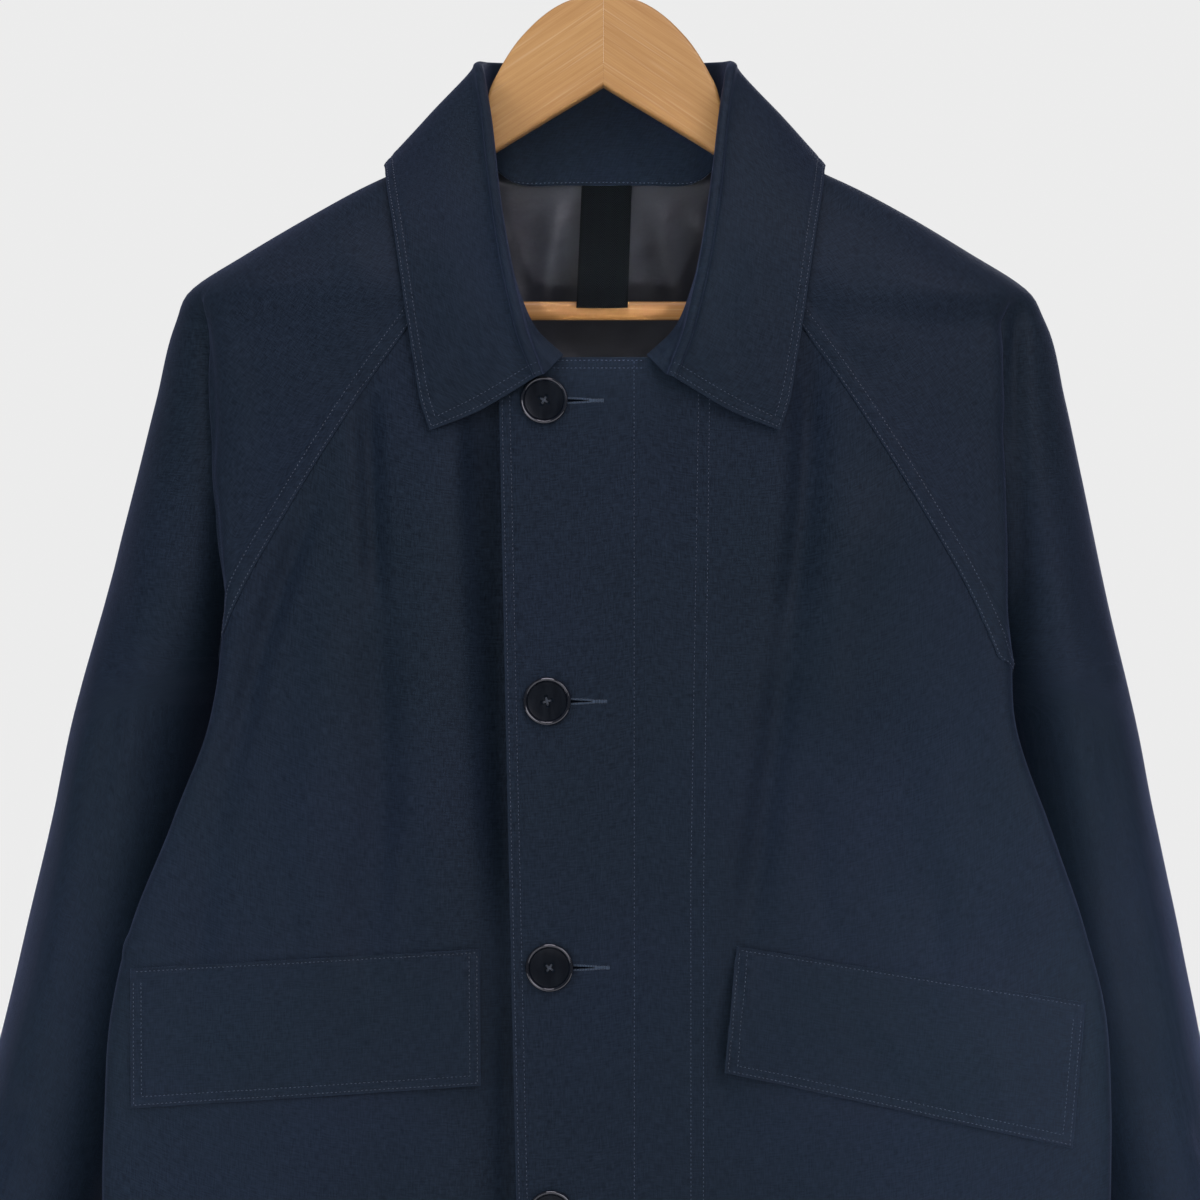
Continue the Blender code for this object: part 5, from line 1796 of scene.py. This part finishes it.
def studio():
    """The camera, the softboxes and an even pale surround."""
    scene = bpy.context.scene
    eye = bpy.data.cameras.new("camera")
    eye.sensor_width = SENSOR
    eye.lens = SENSOR * EYE_AWAY / PICTURE_WIDE
    eye.shift_x = PICTURE_SHIFT
    camera = bpy.data.objects.new("camera", eye)
    camera.location = (0, -EYE_AWAY, EYE_Z)
    camera.rotation_euler = (math.pi / 2, 0, 0)
    scene.collection.objects.link(camera)
    scene.camera = camera
    for row in LIGHTS:
        lamp = bpy.data.lights.new(row["name"], "AREA")
        lamp.shape = "SQUARE"
        lamp.size = row["size"]
        lamp.spread = math.radians(row["spread"])
        lamp.energy = row["power"]
        lamp.color = row["colour"]
        hung = bpy.data.objects.new(row["name"], lamp)
        hung.location = (row["x"], row["y"], row["z"])
        hung.visible_glossy = row["gloss"]
        hung.visible_camera = False
        aim = Vector((row["aim_x"], 0, row["aim_z"])) - hung.location
        hung.rotation_euler = aim.to_track_quat("-Z", "Y").to_euler()
        scene.collection.objects.link(hung)
    world = bpy.data.worlds.new("surround")
    world.use_nodes = True
    tree = world.node_tree
    seen = tree.nodes["Background"]
    seen.inputs["Color"].default_value = (*PALE, 1)
    dim = node(tree, "Background", {"Color": (*DIM, 1)})
    mirrored = node(tree, "Background", {"Color": (*MIRRORED, 1)})
    path = node(tree, "LightPath")
    gloss = path.outputs["Is Glossy Ray"]
    unseen = node(tree, "MixShader", {0: gloss, 1: dim.outputs[0], 2: mirrored.outputs[0]})
    sight = path.outputs["Is Camera Ray"]
    both = node(tree, "MixShader", {0: sight, 1: unseen.outputs[0], 2: seen.outputs[0]})
    tree.links.new(both.outputs[0], tree.nodes["World Output"].inputs["Surface"])
    scene.world = world
    scene.view_settings.view_transform = "Standard"


def jacket():
    """All of the jacket's cloth, its stitching and its buttons."""
    navy = navy_cotton()
    stitching = thread("thread", (0.017, 0.026, 0.047), (0.032, 0.046, 0.081))
    # A darker copy of the same thread for the flaps, as painted shade: their stitches read dimmer, and
    # the top row as a seam's shadow line.
    faint = thread("flap_stitch_shade", (0.011, 0.017, 0.030), (0.019, 0.028, 0.048))
    worked = thread("buttonhole_thread", (0.010, 0.022, 0.042), (0.026, 0.052, 0.088))
    # Each buttonhole's slit gets a near-black sheet as painted shadow.
    slit = polished("slit_shadow", (0.001, 0.0018, 0.003), (0.002, 0.003, 0.005), 0.8, 0.95, 0.0)
    for side in (1, -1):
        front_cloth(side, navy)
        sleeve_cloth(side, False, navy)
        sleeve_cloth(side, True, navy)
    stops = (BACK_POINT_Z, SEAM_TURN_Z, UNDERARM_Z, HEM_Z)
    back_rows = levels(*stops, fine=(-HEM_Z,), close=SEAM_TURN_Z)
    hem = {"free": ("low",), "sewn": (("low", HEM_ROW),)}
    back_cloth("back", back_rows, 0, 0, 0, navy, "back", **hem)
    stops = (BACK_POINT_Z, LINING_MID_Z, LINING_HEM_Z)
    lining_rows = levels(*stops, step=5.5, fine=(-LINING_HEM_Z,))
    deep = CLOTH + LINING_GAP
    loose = {"free": ("low",), "lift": LINING_LIFT, "thick": LINING_THIN}
    back_cloth("back_lining", lining_rows, deep, 1.0, 0.2, lining_satin(), "lining", **loose)
    rows = tuple((side, row) for side in ("first", "last", "low") for row in (EDGE_ROW, TOP_ROW))
    collar_cloth("collar_upper", 0, 0.0, 1.5, navy, rows)
    collar_cloth("collar_under", COLLAR_LAYER + SEAM_GAP, 0.012, 4.0, navy, ())
    loop_cloth(tape_black())
    for side in (1, -1):
        flap_cloth(side, navy)
        flap_stitches(side, faint)
        sleeve_stitches(side, stitching)
    front_stitches(stitching)
    back_stitches(stitching)
    collar_stitches(stitching)
    rim = polished("button_rim", (0.0025, 0.0035, 0.006), (0.007, 0.009, 0.013), 0.06, 0.12, 0.85)
    middle = polished("button_middle", (0.002, 0.003, 0.005), (0.005, 0.007, 0.010), 0.26, 0.36, 0.15)
    drilled = turned_button(rim, middle)
    sewn = thread("button_thread", (0.006, 0.011, 0.019), (0.015, 0.027, 0.044))
    for number, row in enumerate(BUTTONS, 1):
        sewn_button(number, row["x"], row["z"], drilled, sewn)
        buttonhole(number, row["x"], row["z"], worked, slit)


def hanger():
    """The wooden hanger and its hook."""
    beech = ((0.282, 0.138, 0.045), (0.43, 0.250, 0.093))
    board(1, varnished_wood("left_board", -33.8, beech, 0.0046))
    board(-1, varnished_wood("right_board", 33.8, beech, 0.0046))
    honey = ((0.28, 0.125, 0.039), (0.40, 0.21, 0.073))
    rail_bar(varnished_wood("rail", 0.0, honey, 0.004))
    hook_wire(hook_steel())


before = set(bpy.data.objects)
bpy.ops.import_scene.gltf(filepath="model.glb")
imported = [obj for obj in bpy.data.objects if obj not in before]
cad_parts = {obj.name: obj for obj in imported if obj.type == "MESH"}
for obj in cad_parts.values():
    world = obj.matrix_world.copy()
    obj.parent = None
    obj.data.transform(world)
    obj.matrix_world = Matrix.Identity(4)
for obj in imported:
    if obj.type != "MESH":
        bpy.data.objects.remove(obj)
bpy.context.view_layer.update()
jacket()
hanger()
floor()
studio()
